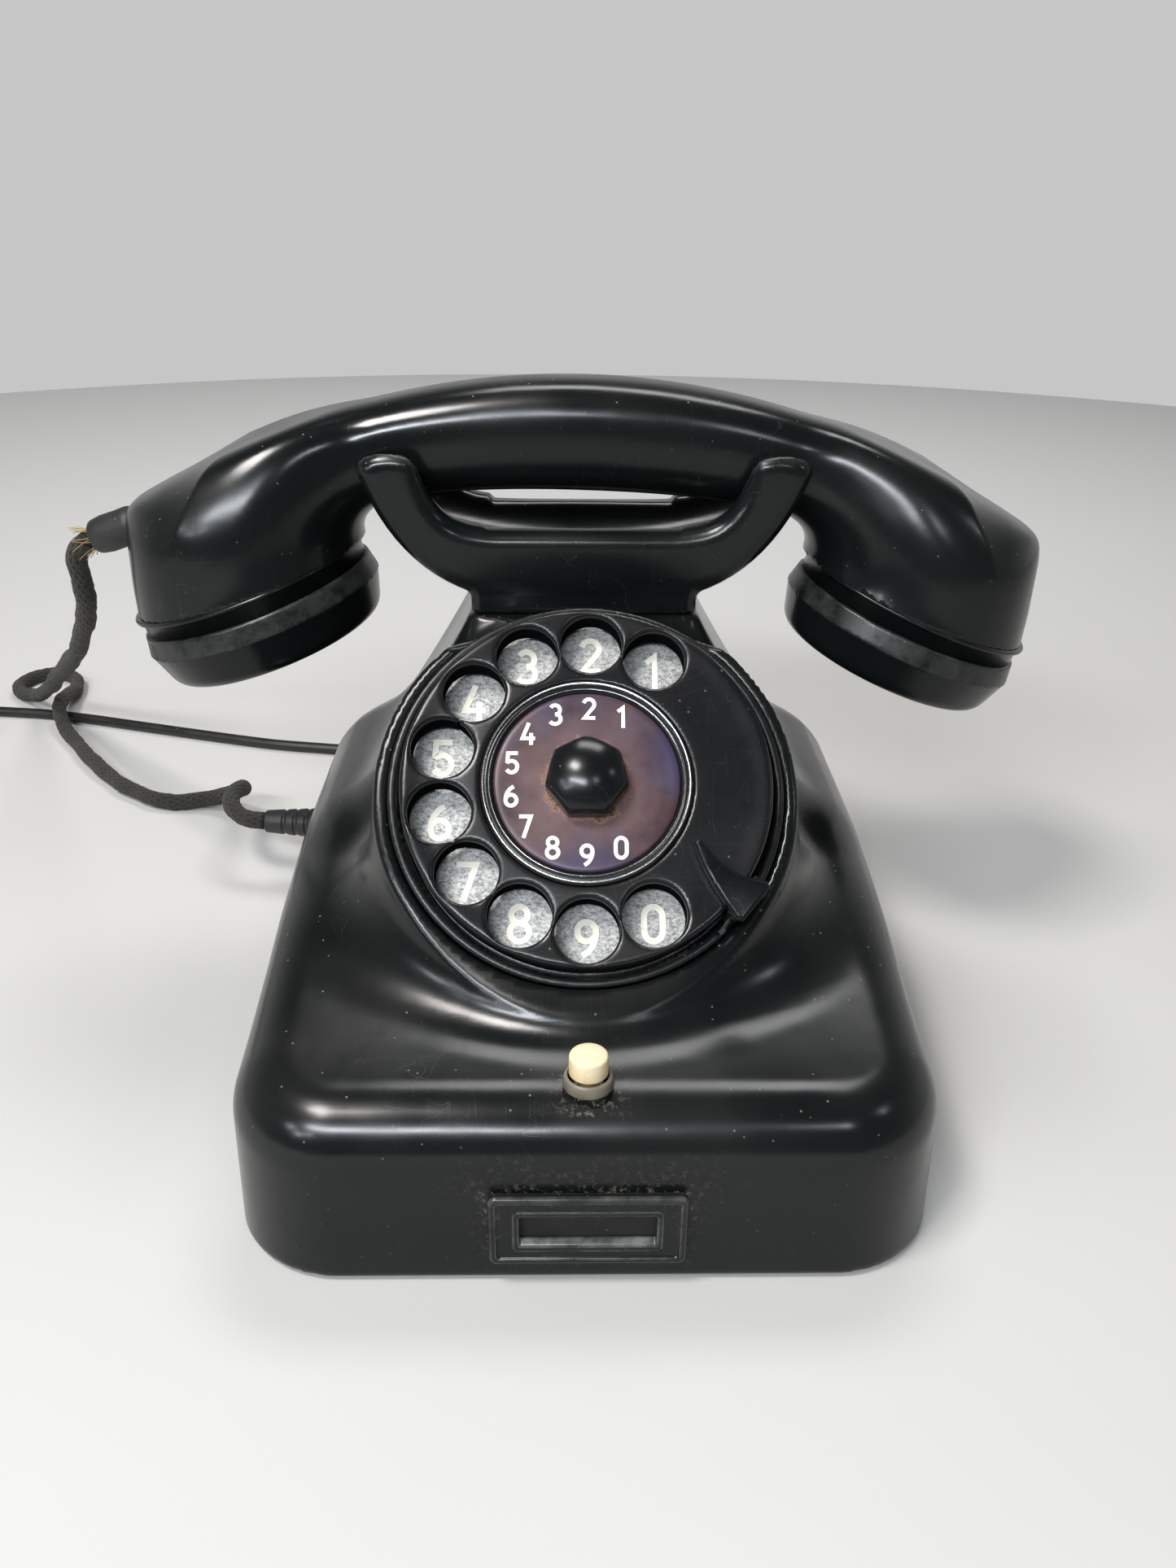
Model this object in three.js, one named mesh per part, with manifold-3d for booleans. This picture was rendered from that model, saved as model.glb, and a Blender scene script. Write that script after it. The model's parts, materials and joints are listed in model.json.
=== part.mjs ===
// Bakelite desk telephone with a rotary dial, a fork cradle and a lift-off handset.
// Units are millimetres. +Z is up, +X is the user's right, +Y points to the back of the telephone.
// The origin is on the table, under the middle of the telephone.
import * as THREE from 'three';
import { mergeVertices } from 'three/addons/utils/BufferGeometryUtils.js';
import Module from 'manifold-3d';

const wasm = await Module();
wasm.setup();

// ---- driving dimensions ----
const GAP = 0.3;               // clearance left between neighbouring solids
const BASE_WIDTH = 151;
const BASE_FRONT = -91.5;
const BASE_BACK = 92.5;
const BASE_CORNER = 24;        // plan radius of the housing's corners
const EDGE_ROUND = 13;         // radius between the side walls and the top
const FRONT_HEIGHT = 41.5;     // height of the ledge that carries the earth button
const BACK_HEIGHT = 55;        // height of the shoulders at the back
const SKIRT_LIFT = 1;          // gap between the housing's lower edge and the table
const WALL = 3.4;              // housing wall thickness

const NECK_Y = 43.4;           // middle of the neck, the cradle and the handset
const NECK_HALF_WIDTH = 28.5;
const NECK_HALF_DEPTH = 21.5;
const NECK_TOP = 105.6;

const DIAL_CENTRE = new THREE.Vector3(0, -31.4, 85.9);   // middle of the finger wheel's face
const DIAL_TILT = THREE.MathUtils.degToRad(45.9);        // between the dial's face and the table
const WHEEL_RADIUS = 41.3;
const WHEEL_THICKNESS = 5;
const WHEEL_BORE = 3.4;
const LABEL_SEAT = 23.6;        // radius of the recess for the label and its ring
const HOLE_CIRCLE = 33;
const HOLE_RADIUS = 7.05;
const HOLE_COUNT = 10;
const HOLE_PITCH = THREE.MathUtils.degToRad(26);
const FIRST_HOLE = THREE.MathUtils.degToRad(62);
const RIM_RADIUS = 44.5;
const RIM_TOP = -5.6;          // heights along the dial's axis count from the wheel's face
const PLATE_TOP = -11;         // number plate, seen through the finger holes
const CUP_FLOOR = -13;         // floor of the dial's seat in the housing
const MAIN_GEAR_TEETH = 48;
const PINION_TEETH = 12;
const GEAR_MODULE = 1;

const HANDSET_CAP_X = 88;      // middle of each cap's upper edge
const HANDSET_CAP_Z = 106;
const CAP_TILT = THREE.MathUtils.degToRad(20);
const CAP_RADIUS = 32.2;
const BELL_RADIUS = 31;
const HANDLE_DEPTH = 29;       // front to back
const HANDSET_LEAN = THREE.MathUtils.degToRad(1.4);      // the right end lies a little lower
const HANDSET_TWIST = THREE.MathUtils.degToRad(0.8);     // and a little nearer to the front
const CRADLE_DEPTH = 43;
const CRADLE_CHANNEL = 32;     // gap between the cradle's front and back walls

const HANDSET_CORD_RADIUS = 2.9;
const LINE_CORD_RADIUS = 2;

// ---- materials ----
const finish = (color, roughness, metalness = 0) =>
  new THREE.MeshStandardMaterial({ color, roughness, metalness });
const MATERIAL = {
  bakelite: finish(0x0d0d0e, 0.22),
  ivory: finish(0xd9cdaa, 0.45),
  horn: finish(0x9a9079, 0.5),
  chrome: finish(0xc9ccd0, 0.12, 1),
  aluminium: finish(0xb9bbbd, 0.4, 1),
  label: finish(0x4a3238, 0.45),
  steel: finish(0x8f9296, 0.35, 1),
  brass: finish(0xb08d45, 0.35, 1),
  rubber: finish(0x1a1a1a, 0.85),
  textile: finish(0x2b261d, 0.9),
  winding: finish(0x7a3b1c, 0.6),
  card: finish(0x9c7f52, 0.8),
};

const telephone = new THREE.Group();

// Adds a piece under its name, by default to the telephone itself.
function addPart(name, geometry, material, parent = telephone) {
  const mesh = new THREE.Mesh(geometry, material);
  mesh.name = name;
  parent.add(mesh);
  return mesh;
}

// ---- solids: joining, cutting and basic forms ----
function mergedPositions(geometry) {
  const bare = geometry.index ? geometry.toNonIndexed() : geometry.clone();
  for (const key of Object.keys(bare.attributes)) {
    if (key !== 'position') bare.deleteAttribute(key);
  }
  return mergeVertices(bare, 1e-4);
}

function toSolid(geometry) {
  const merged = mergedPositions(geometry);
  return new wasm.Manifold(new wasm.Mesh({
    numProp: 3,
    vertProperties: new Float32Array(merged.attributes.position.array),
    triVerts: new Uint32Array(merged.index.array),
  }));
}

function toGeometry(solid) {
  const mesh = solid.getMesh();
  const geometry = new THREE.BufferGeometry();
  const corners = new Float32Array(mesh.vertProperties);
  geometry.setAttribute('position', new THREE.BufferAttribute(corners, 3));
  geometry.setIndex(new THREE.BufferAttribute(new Uint32Array(mesh.triVerts), 1));
  return geometry;
}

const cut = (body, ...tools) =>
  toGeometry(tools.reduce((solid, tool) => solid.subtract(toSolid(tool)), toSolid(body)));
const join = (body, ...others) =>
  toGeometry(others.reduce((solid, other) => solid.add(toSolid(other)), toSolid(body)));
const overlap = (a, b) => toGeometry(toSolid(a).intersect(toSolid(b)));

// A turned solid about Z; the profile is a closed loop of [radius, z] pairs or runs from axis to axis,
// and it may be written in either order.
function turned(profile, segments = 32) {
  const points = profile.map(([r, z]) => new THREE.Vector2(r, z));
  if (THREE.ShapeUtils.area(points) < 0) points.reverse();
  return new THREE.LatheGeometry(points, segments).rotateX(Math.PI / 2);
}

const disc = (radius, low, high, segments = 24) =>
  turned([[0, low], [radius, low], [radius, high], [0, high]], segments);

const ring = (inner, outer, low, high, segments = 32) =>
  turned([[inner, low], [outer, low], [outer, high], [inner, high], [inner, low]], segments);

const block = (x, y, z, width, depth, height) =>
  new THREE.BoxGeometry(width, depth, height).translate(x, y, z + height / 2);

function plate(shape, low, high, curveSegments = 8) {
  const options = { depth: high - low, bevelEnabled: false, curveSegments };
  return new THREE.ExtrudeGeometry(shape, options).translate(0, 0, low);
}

function roundedRectangle(halfWidth, halfDepth, radius) {
  const shape = new THREE.Shape();
  const cx = halfWidth - radius;
  const cy = halfDepth - radius;
  shape.absarc(cx, cy, radius, 0, Math.PI / 2);
  shape.absarc(-cx, cy, radius, Math.PI / 2, Math.PI);
  shape.absarc(-cx, -cy, radius, Math.PI, 1.5 * Math.PI);
  shape.absarc(cx, -cy, radius, 1.5 * Math.PI, 2 * Math.PI);
  return shape;
}

// A round tube along a smooth curve through the points.
function tube(points, radius, sides, steps) {
  const section = new THREE.Shape();
  section.moveTo(radius, 0);
  for (let i = 1; i <= sides; i++) {
    const angle = (2 * Math.PI * i) / sides;
    section.lineTo(radius * Math.cos(angle), radius * Math.sin(angle));
  }
  const path = new THREE.CatmullRomCurve3(points.map((p) => new THREE.Vector3(...p)));
  return new THREE.ExtrudeGeometry(section, { steps, bevelEnabled: false, extrudePath: path });
}

// Places a solid built along +Z so that its foot is at a point and it points along a direction.
function aimed(geometry, foot, direction) {
  const turn = new THREE.Quaternion().setFromUnitVectors(
    new THREE.Vector3(0, 0, 1), new THREE.Vector3(...direction).normalize());
  return geometry.applyQuaternion(turn).translate(...foot);
}

// ---- housing shape, as distances that are negative inside ----
const blendMin = (a, b, k) => {
  const h = Math.max(k - Math.abs(a - b), 0) / k;
  return Math.min(a, b) - (h * h * k) / 4;
};
const smoothStep = (low, high, v) => {
  const t = Math.min(Math.max((v - low) / (high - low), 0), 1);
  return t * t * (3 - 2 * t);
};
function rectangleDistance(x, y, halfWidth, halfDepth, radius) {
  const dx = Math.abs(x) - halfWidth + radius;
  const dy = Math.abs(y) - halfDepth + radius;
  return Math.hypot(Math.max(dx, 0), Math.max(dy, 0)) + Math.min(Math.max(dx, dy), 0) - radius;
}
function roundedEdge(side, top, radius) {
  const a = side + radius;
  const b = top + radius;
  return Math.hypot(Math.max(a, 0), Math.max(b, 0)) + Math.min(Math.max(a, b), 0) - radius;
}

const BASE_MIDDLE_Y = (BASE_FRONT + BASE_BACK) / 2;
const BASE_HALF_DEPTH = (BASE_BACK - BASE_FRONT) / 2;
const WALL_DRAFT = 0.02;
const DIAL_NORMAL = new THREE.Vector3(0, -Math.sin(DIAL_TILT), Math.cos(DIAL_TILT));
const COLLAR_TOP = -7.6;
const COLLAR_RADIUS = RIM_RADIUS + 2;
const COLLAR_FLARE = 0.22;
const collarTop = DIAL_CENTRE.clone().addScaledVector(DIAL_NORMAL, COLLAR_TOP);

function wallDistance(x, y, z) {
  const draft = WALL_DRAFT * z;
  return rectangleDistance(
    x, y - BASE_MIDDLE_Y, BASE_WIDTH / 2 - draft, BASE_HALF_DEPTH - draft, BASE_CORNER);
}

function skirtDistance(x, y, z) {
  const rise = (BACK_HEIGHT - FRONT_HEIGHT) * smoothStep(-85, 25, y);
  return roundedEdge(wallDistance(x, y, z), z - FRONT_HEIGHT - rise, EDGE_ROUND);
}

// The collar is the body under the dial: a drum square to the dial, on a column that widens downwards.
function collarDistance(x, y, z) {
  const above = (y - collarTop.y) * DIAL_NORMAL.y + (z - collarTop.z) * DIAL_NORMAL.z;
  const rimHeight = collarTop.z - ((y - collarTop.y) * DIAL_NORMAL.y) / DIAL_NORMAL.z;
  const spread = COLLAR_FLARE * Math.max(rimHeight - z, 0);
  const ax = COLLAR_RADIUS + spread;
  const ay = COLLAR_RADIUS * Math.cos(DIAL_TILT) + spread;
  const column = (Math.hypot(x / ax, (y - collarTop.y) / ay) - 1) * Math.min(ax, ay);
  const upSlope = (y - collarTop.y) * Math.cos(DIAL_TILT) + (z - collarTop.z) * Math.sin(DIAL_TILT);
  const drumWall = Math.hypot(x, upSlope) - COLLAR_RADIUS;
  return Math.max(blendMin(column, drumWall, 5), above);
}

// The neck widens towards the shoulders like a tent.
function neckDistance(x, y, z) {
  const drop = Math.min(Math.max((NECK_TOP - z) / (NECK_TOP - BACK_HEIGHT), 0), 1) ** 1.1;
  const side = rectangleDistance(
    x, y - NECK_Y, NECK_HALF_WIDTH + 30 * drop, NECK_HALF_DEPTH + 20 * drop, 7 + 14 * drop);
  return Math.max(side, z - NECK_TOP);
}

function housingDistance(x, y, z) {
  const body = blendMin(skirtDistance(x, y, z), collarDistance(x, y, z), 16);
  const whole = blendMin(body, neckDistance(x, y, z), 18);
  return Math.max(whole, wallDistance(x, y, z), z - NECK_TOP);
}

// Distance from the shell's middle to the surface at a depth under the outside, along a direction.
const SHELL_MIDDLE = new THREE.Vector3(0, 10, SKIRT_LIFT);
function reach(direction, depth) {
  let near = 20;
  let far = 160;
  for (let i = 0; i < 26; i++) {
    const mid = (near + far) / 2;
    const p = direction.clone().multiplyScalar(mid).add(SHELL_MIDDLE);
    if (housingDistance(p.x, p.y, p.z) < -depth) near = mid;
    else far = mid;
  }
  return near;
}

// Directions in plan: five steps round each corner of the base, and four along each side.
function planAzimuths(cornerSteps = 5, sideSteps = 4) {
  const cx = BASE_WIDTH / 2 - BASE_CORNER;
  const cy = BASE_HALF_DEPTH - BASE_CORNER;
  const centres = [[cx, cy], [-cx, cy], [-cx, -cy], [cx, -cy]];
  const around = [];
  centres.forEach(([x, y], corner) => {
    for (let i = 0; i <= cornerSteps; i++) {
      const angle = (Math.PI / 2) * (corner + i / cornerSteps);
      around.push([x + BASE_CORNER * Math.cos(angle), y + BASE_CORNER * Math.sin(angle)]);
    }
    const from = around[around.length - 1];
    const [nextX, nextY] = centres[(corner + 1) % 4];
    const turn = (Math.PI / 2) * (corner + 1);
    const to = [nextX + BASE_CORNER * Math.cos(turn), nextY + BASE_CORNER * Math.sin(turn)];
    for (let i = 1; i < sideSteps; i++) {
      const t = i / sideSteps;
      around.push([from[0] + (to[0] - from[0]) * t, from[1] + (to[1] - from[1]) * t]);
    }
  });
  return around.map(([x, y]) => Math.atan2(y + BASE_MIDDLE_Y - SHELL_MIDDLE.y, x));
}

// The housing is a dome of two skins, the outside and the inside, closed by a rim at the bottom.
function housingShell(up = 12) {
  const azimuths = planAzimuths();
  const around = azimuths.length;
  const positions = [];
  const index = [];
  const skinStart = [];
  for (const depth of [0, WALL]) {
    skinStart.push(positions.length / 3);
    for (let j = 0; j < up; j++) {
      const elevation = (Math.PI / 2) * (j / up) ** 0.9;
      for (let i = 0; i < around; i++) {
        const flat = Math.cos(elevation);
        const direction = new THREE.Vector3(
          flat * Math.cos(azimuths[i]), flat * Math.sin(azimuths[i]), Math.sin(elevation));
        const p = direction.multiplyScalar(reach(direction, depth)).add(SHELL_MIDDLE);
        positions.push(p.x, p.y, p.z);
      }
    }
    const top = new THREE.Vector3(0, 0, 1);
    positions.push(SHELL_MIDDLE.x, SHELL_MIDDLE.y, SHELL_MIDDLE.z + reach(top, depth));
  }
  const quad = (a, b, c, d) => index.push(a, b, c, a, c, d);
  skinStart.forEach((start, skin) => {
    const peak = start + around * up;
    for (let i = 0; i < around; i++) {
      const next = (i + 1) % around;
      for (let j = 0; j < up - 1; j++) {
        const low = start + j * around;
        const high = low + around;
        if (skin === 0) quad(low + i, low + next, high + next, high + i);
        else quad(low + i, high + i, high + next, low + next);
      }
      const last = start + (up - 1) * around;
      if (skin === 0) index.push(last + i, last + next, peak);
      else index.push(last + i, peak, last + next);
      if (skin === 0) quad(skinStart[1] + i, skinStart[1] + next, next, i);
    }
  });
  const geometry = new THREE.BufferGeometry();
  geometry.setAttribute('position', new THREE.BufferAttribute(new Float32Array(positions), 3));
  geometry.setIndex(index);
  return geometry;
}

// ---- housing and base ----
const SCREW_X = 58;
const SCREW_Y = 74;
const FLOOR_LOW = 4;           // underside of the base plate
const FLOOR_HIGH = 5.5;
const BUTTON_Y = -80;
const BUTTON_BASE = FRONT_HEIGHT + 0.8;
const HANDSET_CORD_EXIT = [-75.1, 70, 20];
const HANDSET_CORD_OUT = [-1, 0.08, 0];
const LINE_CORD_EXIT = [-30, BASE_BACK, 12];
const FOOT_X = 50;
const FOOT_Y = 60;
const corners = [
  ['front_left', -1, -1], ['front_right', 1, -1], ['back_left', -1, 1], ['back_right', 1, 1],
];

function inDialFrame(geometry) {
  return geometry.rotateX(DIAL_TILT).translate(DIAL_CENTRE.x, DIAL_CENTRE.y, DIAL_CENTRE.z);
}

function makeHousing() {
  const bosses = corners.map(([, sx, sy]) => {
    const ceiling = (sy < 0 ? FRONT_HEIGHT : BACK_HEIGHT) - 0.5 * WALL;
    return disc(4.5, FLOOR_HIGH + GAP, ceiling, 10).translate(sx * SCREW_X, sy * SCREW_Y, 0);
  });
  const pilots = corners.map(([, sx, sy]) =>
    disc(1.7, 0, 18, 8).translate(sx * SCREW_X, sy * SCREW_Y, 0));
  const seatFloor = inDialFrame(ring(36, RIM_RADIUS + 1, CUP_FLOOR - 3, COLLAR_TOP - 1, 32));
  const dialSeat = inDialFrame(disc(RIM_RADIUS + GAP, CUP_FLOOR, 6, 36));
  const dialHole = inDialFrame(disc(36, -40, 0, 24));
  const neckHole = block(0, NECK_Y, NECK_TOP - 24, 51, 35, 40);
  const buttonHole = disc(3.2, 20, 60, 12).translate(0, BUTTON_Y, 0);
  const cordHole = aimed(disc(4.2, -12, 8, 12), HANDSET_CORD_EXIT, HANDSET_CORD_OUT);
  const lineHole = aimed(disc(3.6, -12, 8, 12), LINE_CORD_EXIT, [0, 1, 0]);
  const windowCut = block(0, BASE_FRONT, 8, 32, 2.4, 12);
  return cut(join(housingShell(), ...bosses, seatFloor),
    ...pilots, dialSeat, dialHole, neckHole, buttonHole, cordHole, lineHole, windowCut);
}

function makeBasePlate() {
  const inset = WALL + 2;
  const shape = roundedRectangle(BASE_WIDTH / 2 - inset, BASE_HALF_DEPTH - inset, BASE_CORNER - inset);
  const holes = corners.map(([, sx, sy]) =>
    disc(1.8, 0, 10, 8).translate(sx * SCREW_X, sy * SCREW_Y - BASE_MIDDLE_Y, 0));
  return cut(plate(shape, FLOOR_LOW, FLOOR_HIGH), ...holes).translate(0, BASE_MIDDLE_Y, 0);
}

addPart('housing', makeHousing(), MATERIAL.bakelite);
addPart('base_plate', makeBasePlate(), MATERIAL.steel);
for (const [place, sx, sy] of corners) {
  const foot = turned([[0, 0], [6, 0], [7, 1], [7, FLOOR_LOW - GAP], [0, FLOOR_LOW - GAP]], 14);
  addPart(`foot_${place}`, foot.translate(sx * FOOT_X, sy * FOOT_Y, 0), MATERIAL.rubber);
  const screw = turned([
    [0, 1.9], [2.6, 1.9], [3.2, 2.4], [3.2, FLOOR_LOW - GAP],
    [1.35, FLOOR_LOW - GAP], [1.35, 15], [0, 16]], 8);
  addPart(`base_screw_${place}`, screw.translate(sx * SCREW_X, sy * SCREW_Y, 0), MATERIAL.steel);
}

function makeLabelFrame() {
  const outer = roundedRectangle(20, 8.8, 1.6);
  outer.holes.push(roundedRectangle(13.9, 4.1, 0.6));
  const frame = plate(outer, 0, 1, 4).rotateX(Math.PI / 2);
  return frame.translate(0, BASE_FRONT - 0.05, 15.4);
}
addPart('label_frame', makeLabelFrame(), MATERIAL.bakelite);
addPart('label_card', block(0, BASE_FRONT + 0.5, 9.5, 30, 0.6, 10), MATERIAL.card);

// ---- earth button ----
const BUTTON_TRAVEL = 3;
addPart('button_collar', turned([
  [4.75, BUTTON_BASE + 0.2], [6.1, BUTTON_BASE + 0.2], [5.9, BUTTON_BASE + 2.2],
  [5.3, BUTTON_BASE + 2.8], [4.75, BUTTON_BASE + 2.8], [4.75, BUTTON_BASE + 0.2]], 20)
  .translate(0, BUTTON_Y, 0), MATERIAL.horn);
addPart('earth_button', turned([
  [0, BUTTON_BASE - 12], [2.2, BUTTON_BASE - 12], [2.2, BUTTON_BASE + 3.4], [4.4, BUTTON_BASE + 3.4],
  [4.4, BUTTON_BASE + 6.6], [3.7, BUTTON_BASE + 7.4], [0, BUTTON_BASE + 7.6]], 20)
  .translate(0, BUTTON_Y, 0), MATERIAL.ivory);
addPart('button_spring', ring(2.6, 3, BUTTON_BASE - 10, BUTTON_BASE - 4.5, 12)
  .translate(0, BUTTON_Y, 0), MATERIAL.steel);

// ---- dial, built about +Z with the finger wheel's face at zero, then tilted into place ----
const dial = new THREE.Group();
dial.position.copy(DIAL_CENTRE);
dial.rotation.x = DIAL_TILT;
telephone.add(dial);

function holeCentre(number) {
  const angle = FIRST_HOLE + HOLE_PITCH * number;
  return [HOLE_CIRCLE * Math.cos(angle), HOLE_CIRCLE * Math.sin(angle)];
}

function makeFingerWheel() {
  const wheel = turned([
    [WHEEL_BORE, -WHEEL_THICKNESS], [WHEEL_RADIUS - 0.8, -WHEEL_THICKNESS],
    [WHEEL_RADIUS, -4], [WHEEL_RADIUS, -0.9], [WHEEL_RADIUS - 0.9, 0],
    [LABEL_SEAT, 0], [LABEL_SEAT, -1.2], [WHEEL_BORE, -1.2], [WHEEL_BORE, -WHEEL_THICKNESS]], 40);
  const holes = [];
  for (let i = 0; i < HOLE_COUNT; i++) {
    const [x, y] = holeCentre(i);
    holes.push(disc(HOLE_RADIUS, -8, 3, 12).translate(x, y, 0));
  }
  return cut(wheel, ...holes);
}

function makeKnob() {
  const knob = turned([
    [WHEEL_BORE, 0.9], [8, 0.9], [8.3, 1.6], [8.3, 5], [6.6, 7.4], [3, 8.5], [0, 8.6],
    [0, 4], [WHEEL_BORE, 4], [WHEEL_BORE, 0.9]], 7);
  return knob.rotateZ(Math.PI / 14);
}

// The finger stop: a curved fang that reaches from the rim over the wheel's face.
function makeFingerStop() {
  const fang = new THREE.Shape();
  fang.moveTo(22.9, -14.4);
  fang.quadraticCurveTo(23.4, -13.4, 24.5, -14.2);
  fang.bezierCurveTo(27.5, -19, 31, -22, 37.9, -23.4);
  fang.lineTo(38.6, -24.4);
  fang.lineTo(32.6, -31.6);
  fang.lineTo(31.4, -30.9);
  fang.bezierCurveTo(27.8, -26.4, 24.6, -20.6, 22.9, -14.4);
  const blade = plate(fang, 0.8, 3.6, 8);
  const root = new THREE.Shape();
  root.moveTo(35.6, -23.6);
  root.lineTo(38.6, -24.4);
  root.lineTo(32.6, -31.6);
  root.lineTo(30.6, -29.8);
  const outsideWheel = ring(WHEEL_RADIUS + 0.7, RIM_RADIUS - 0.3, -20, 10, 36);
  const column = overlap(plate(root, PLATE_TOP + GAP, 1.2), outsideWheel);
  return join(blade, column);
}

function makeDialRim() {
  const rim = turned([
    [RIM_RADIUS - 1.9, CUP_FLOOR + 2], [RIM_RADIUS - 1.9, RIM_TOP + 0.5], [RIM_RADIUS - 1.3, RIM_TOP],
    [RIM_RADIUS - 0.4, RIM_TOP], [RIM_RADIUS, RIM_TOP - 0.6], [RIM_RADIUS, CUP_FLOOR + GAP],
    [24, CUP_FLOOR + GAP], [24, CUP_FLOOR + 1.2], [RIM_RADIUS - 1.9, CUP_FLOOR + 1.2],
    [RIM_RADIUS - 1.9, CUP_FLOOR + 2]], 36);
  const notch = block(RIM_RADIUS - 2, 0, PLATE_TOP, 9, 12.4, 12);
  const notchAngle = THREE.MathUtils.degToRad(-40.5);
  return cut(rim, notch.rotateZ(notchAngle));
}

// A spur gear with straight-sided teeth; one tooth points at angle zero.
function makeGear(teeth, low, high, bore) {
  const pitchRadius = (teeth * GEAR_MODULE) / 2;
  const tip = pitchRadius + 0.75 * GEAR_MODULE;
  const root = pitchRadius - 1.15 * GEAR_MODULE;
  const shape = new THREE.Shape();
  for (let i = 0; i < teeth; i++) {
    const middle = (2 * Math.PI * i) / teeth;
    const outline = [[root, -1.0], [tip, -0.32], [tip, 0.32], [root, 1.0]];
    for (const [radius, offset] of outline) {
      const angle = middle + (offset * GEAR_MODULE) / pitchRadius;
      if (i === 0 && offset === -1.0) shape.moveTo(radius * Math.cos(angle), radius * Math.sin(angle));
      else shape.lineTo(radius * Math.cos(angle), radius * Math.sin(angle));
    }
  }
  return cut(plate(shape, low, high), disc(bore, low - 1, high + 1, 12));
}

const GEAR_LOW = -22;
const GEAR_HIGH = -20.5;
const GEAR_DISTANCE = ((MAIN_GEAR_TEETH + PINION_TEETH) * GEAR_MODULE) / 2;
const SHAFT_RADIUS = 2.4;
const GOVERNOR_RADIUS = 1.5;

addPart('finger_wheel', makeFingerWheel(), MATERIAL.bakelite, dial);
addPart('label_ring', turned([
  [20.9, -0.9], [23.3, -0.9], [23.3, 0.7], [22.9, 1.2], [22.4, 0.7], [21.9, 1.2], [20.9, 0.4],
  [20.9, -0.9]], 28), MATERIAL.chrome, dial);
addPart('centre_disc', ring(WHEEL_BORE, 20.6, -0.9, 0.4, 32), MATERIAL.label, dial);
addPart('centre_knob', makeKnob(), MATERIAL.bakelite, dial);
addPart('dial_shaft', disc(SHAFT_RADIUS, -25, 3.6, 12), MATERIAL.steel, dial);
const mainGear = makeGear(MAIN_GEAR_TEETH, GEAR_LOW, GEAR_HIGH, SHAFT_RADIUS + GAP);
addPart('main_gear', mainGear, MATERIAL.brass, dial);
const numberPlate = ring(SHAFT_RADIUS + 1.2, WHEEL_RADIUS, PLATE_TOP - 0.6, PLATE_TOP, 32);
addPart('number_plate', numberPlate, MATERIAL.aluminium, dial);
addPart('dial_rim', makeDialRim(), MATERIAL.bakelite, dial);
addPart('finger_stop', makeFingerStop(), MATERIAL.bakelite, dial);
addPart('mechanism_plate', cut(disc(35, -17.4, -15.9, 32), disc(SHAFT_RADIUS + 0.4, -20, -10, 12),
  disc(GOVERNOR_RADIUS + 0.4, -20, -10, 12).translate(0, GEAR_DISTANCE, 0)), MATERIAL.steel, dial);

// The governor's drum is a cup around the spinning weights.
const drum = turned([[GOVERNOR_RADIUS + 0.4, -34], [9.6, -34], [9.6, -25], [8.4, -25], [8.4, -32.8],
  [GOVERNOR_RADIUS + 0.4, -32.8], [GOVERNOR_RADIUS + 0.4, -34]], 20);
addPart('governor_drum', drum.translate(0, GEAR_DISTANCE, 0), MATERIAL.brass, dial);
const rotorArms = block(0, 0, -31.8, 11, 3.2, 4);
const halfTooth = Math.PI / PINION_TEETH;
const pinion = makeGear(PINION_TEETH, GEAR_LOW, GEAR_HIGH, 0.8).rotateZ(Math.PI / 2 + halfTooth);
const spindle = disc(GOVERNOR_RADIUS, -32, -15.2, 12);
const rotor = join(spindle, pinion, rotorArms).translate(0, GEAR_DISTANCE, 0);
addPart('governor_rotor', rotor, MATERIAL.brass, dial);

// ---- cradle ----
const CRADLE_BOTTOM = NECK_TOP + GAP;
const PLINTH_HEIGHT = 4.8;

function cradleOutline() {
  const shape = new THREE.Shape();
  const low = CRADLE_BOTTOM + PLINTH_HEIGHT;
  shape.moveTo(-NECK_HALF_WIDTH, low);
  shape.lineTo(NECK_HALF_WIDTH, low);
  shape.quadraticCurveTo(47, low + 6.6, 55, 140.5);
  shape.bezierCurveTo(55.5, 146.2, 41.5, 147.4, 40.2, 143);
  shape.bezierCurveTo(37, 128.2, 31, 127.2, 22, 126.6);
  shape.lineTo(-22, 126.6);
  shape.bezierCurveTo(-31, 127.2, -37, 128.2, -40.2, 143);
  shape.bezierCurveTo(-41.5, 147.4, -55.5, 146.2, -55, 140.5);
  shape.quadraticCurveTo(-47, low + 6.6, -NECK_HALF_WIDTH, low);
  return shape;
}

// Solids drawn in the XZ plane and spread evenly to the front and back of the neck's middle.
function acrossNeck(shape, depth, curveSegments) {
  const solid = plate(shape, -depth / 2, depth / 2, curveSegments);
  return solid.rotateX(Math.PI / 2).translate(0, NECK_Y, 0);
}

function makeCradle() {
  const channel = new THREE.Shape();
  channel.moveTo(-70, 170);
  channel.lineTo(-70, 136);
  channel.quadraticCurveTo(0, 99.5, 70, 136);
  channel.lineTo(70, 170);
  const hull = acrossNeck(cradleOutline(), CRADLE_DEPTH, 6);
  const boat = cut(hull, acrossNeck(channel, CRADLE_CHANNEL, 8));
  const plinthShape = roundedRectangle(NECK_HALF_WIDTH, CRADLE_DEPTH / 2, 6);
  const plinth = plate(plinthShape, CRADLE_BOTTOM, CRADLE_BOTTOM + PLINTH_HEIGHT + 1, 4);
  const guide = block(0, NECK_Y, 92, 49.5, 33.5, CRADLE_BOTTOM - 91);
  return join(boat, plinth.translate(0, NECK_Y, 0), guide);
}

addPart('cradle', makeCradle(), MATERIAL.bakelite);
addPart('switch_plunger', disc(2.5, 74, 92 - GAP, 12).translate(0, NECK_Y, 0), MATERIAL.ivory);

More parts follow.
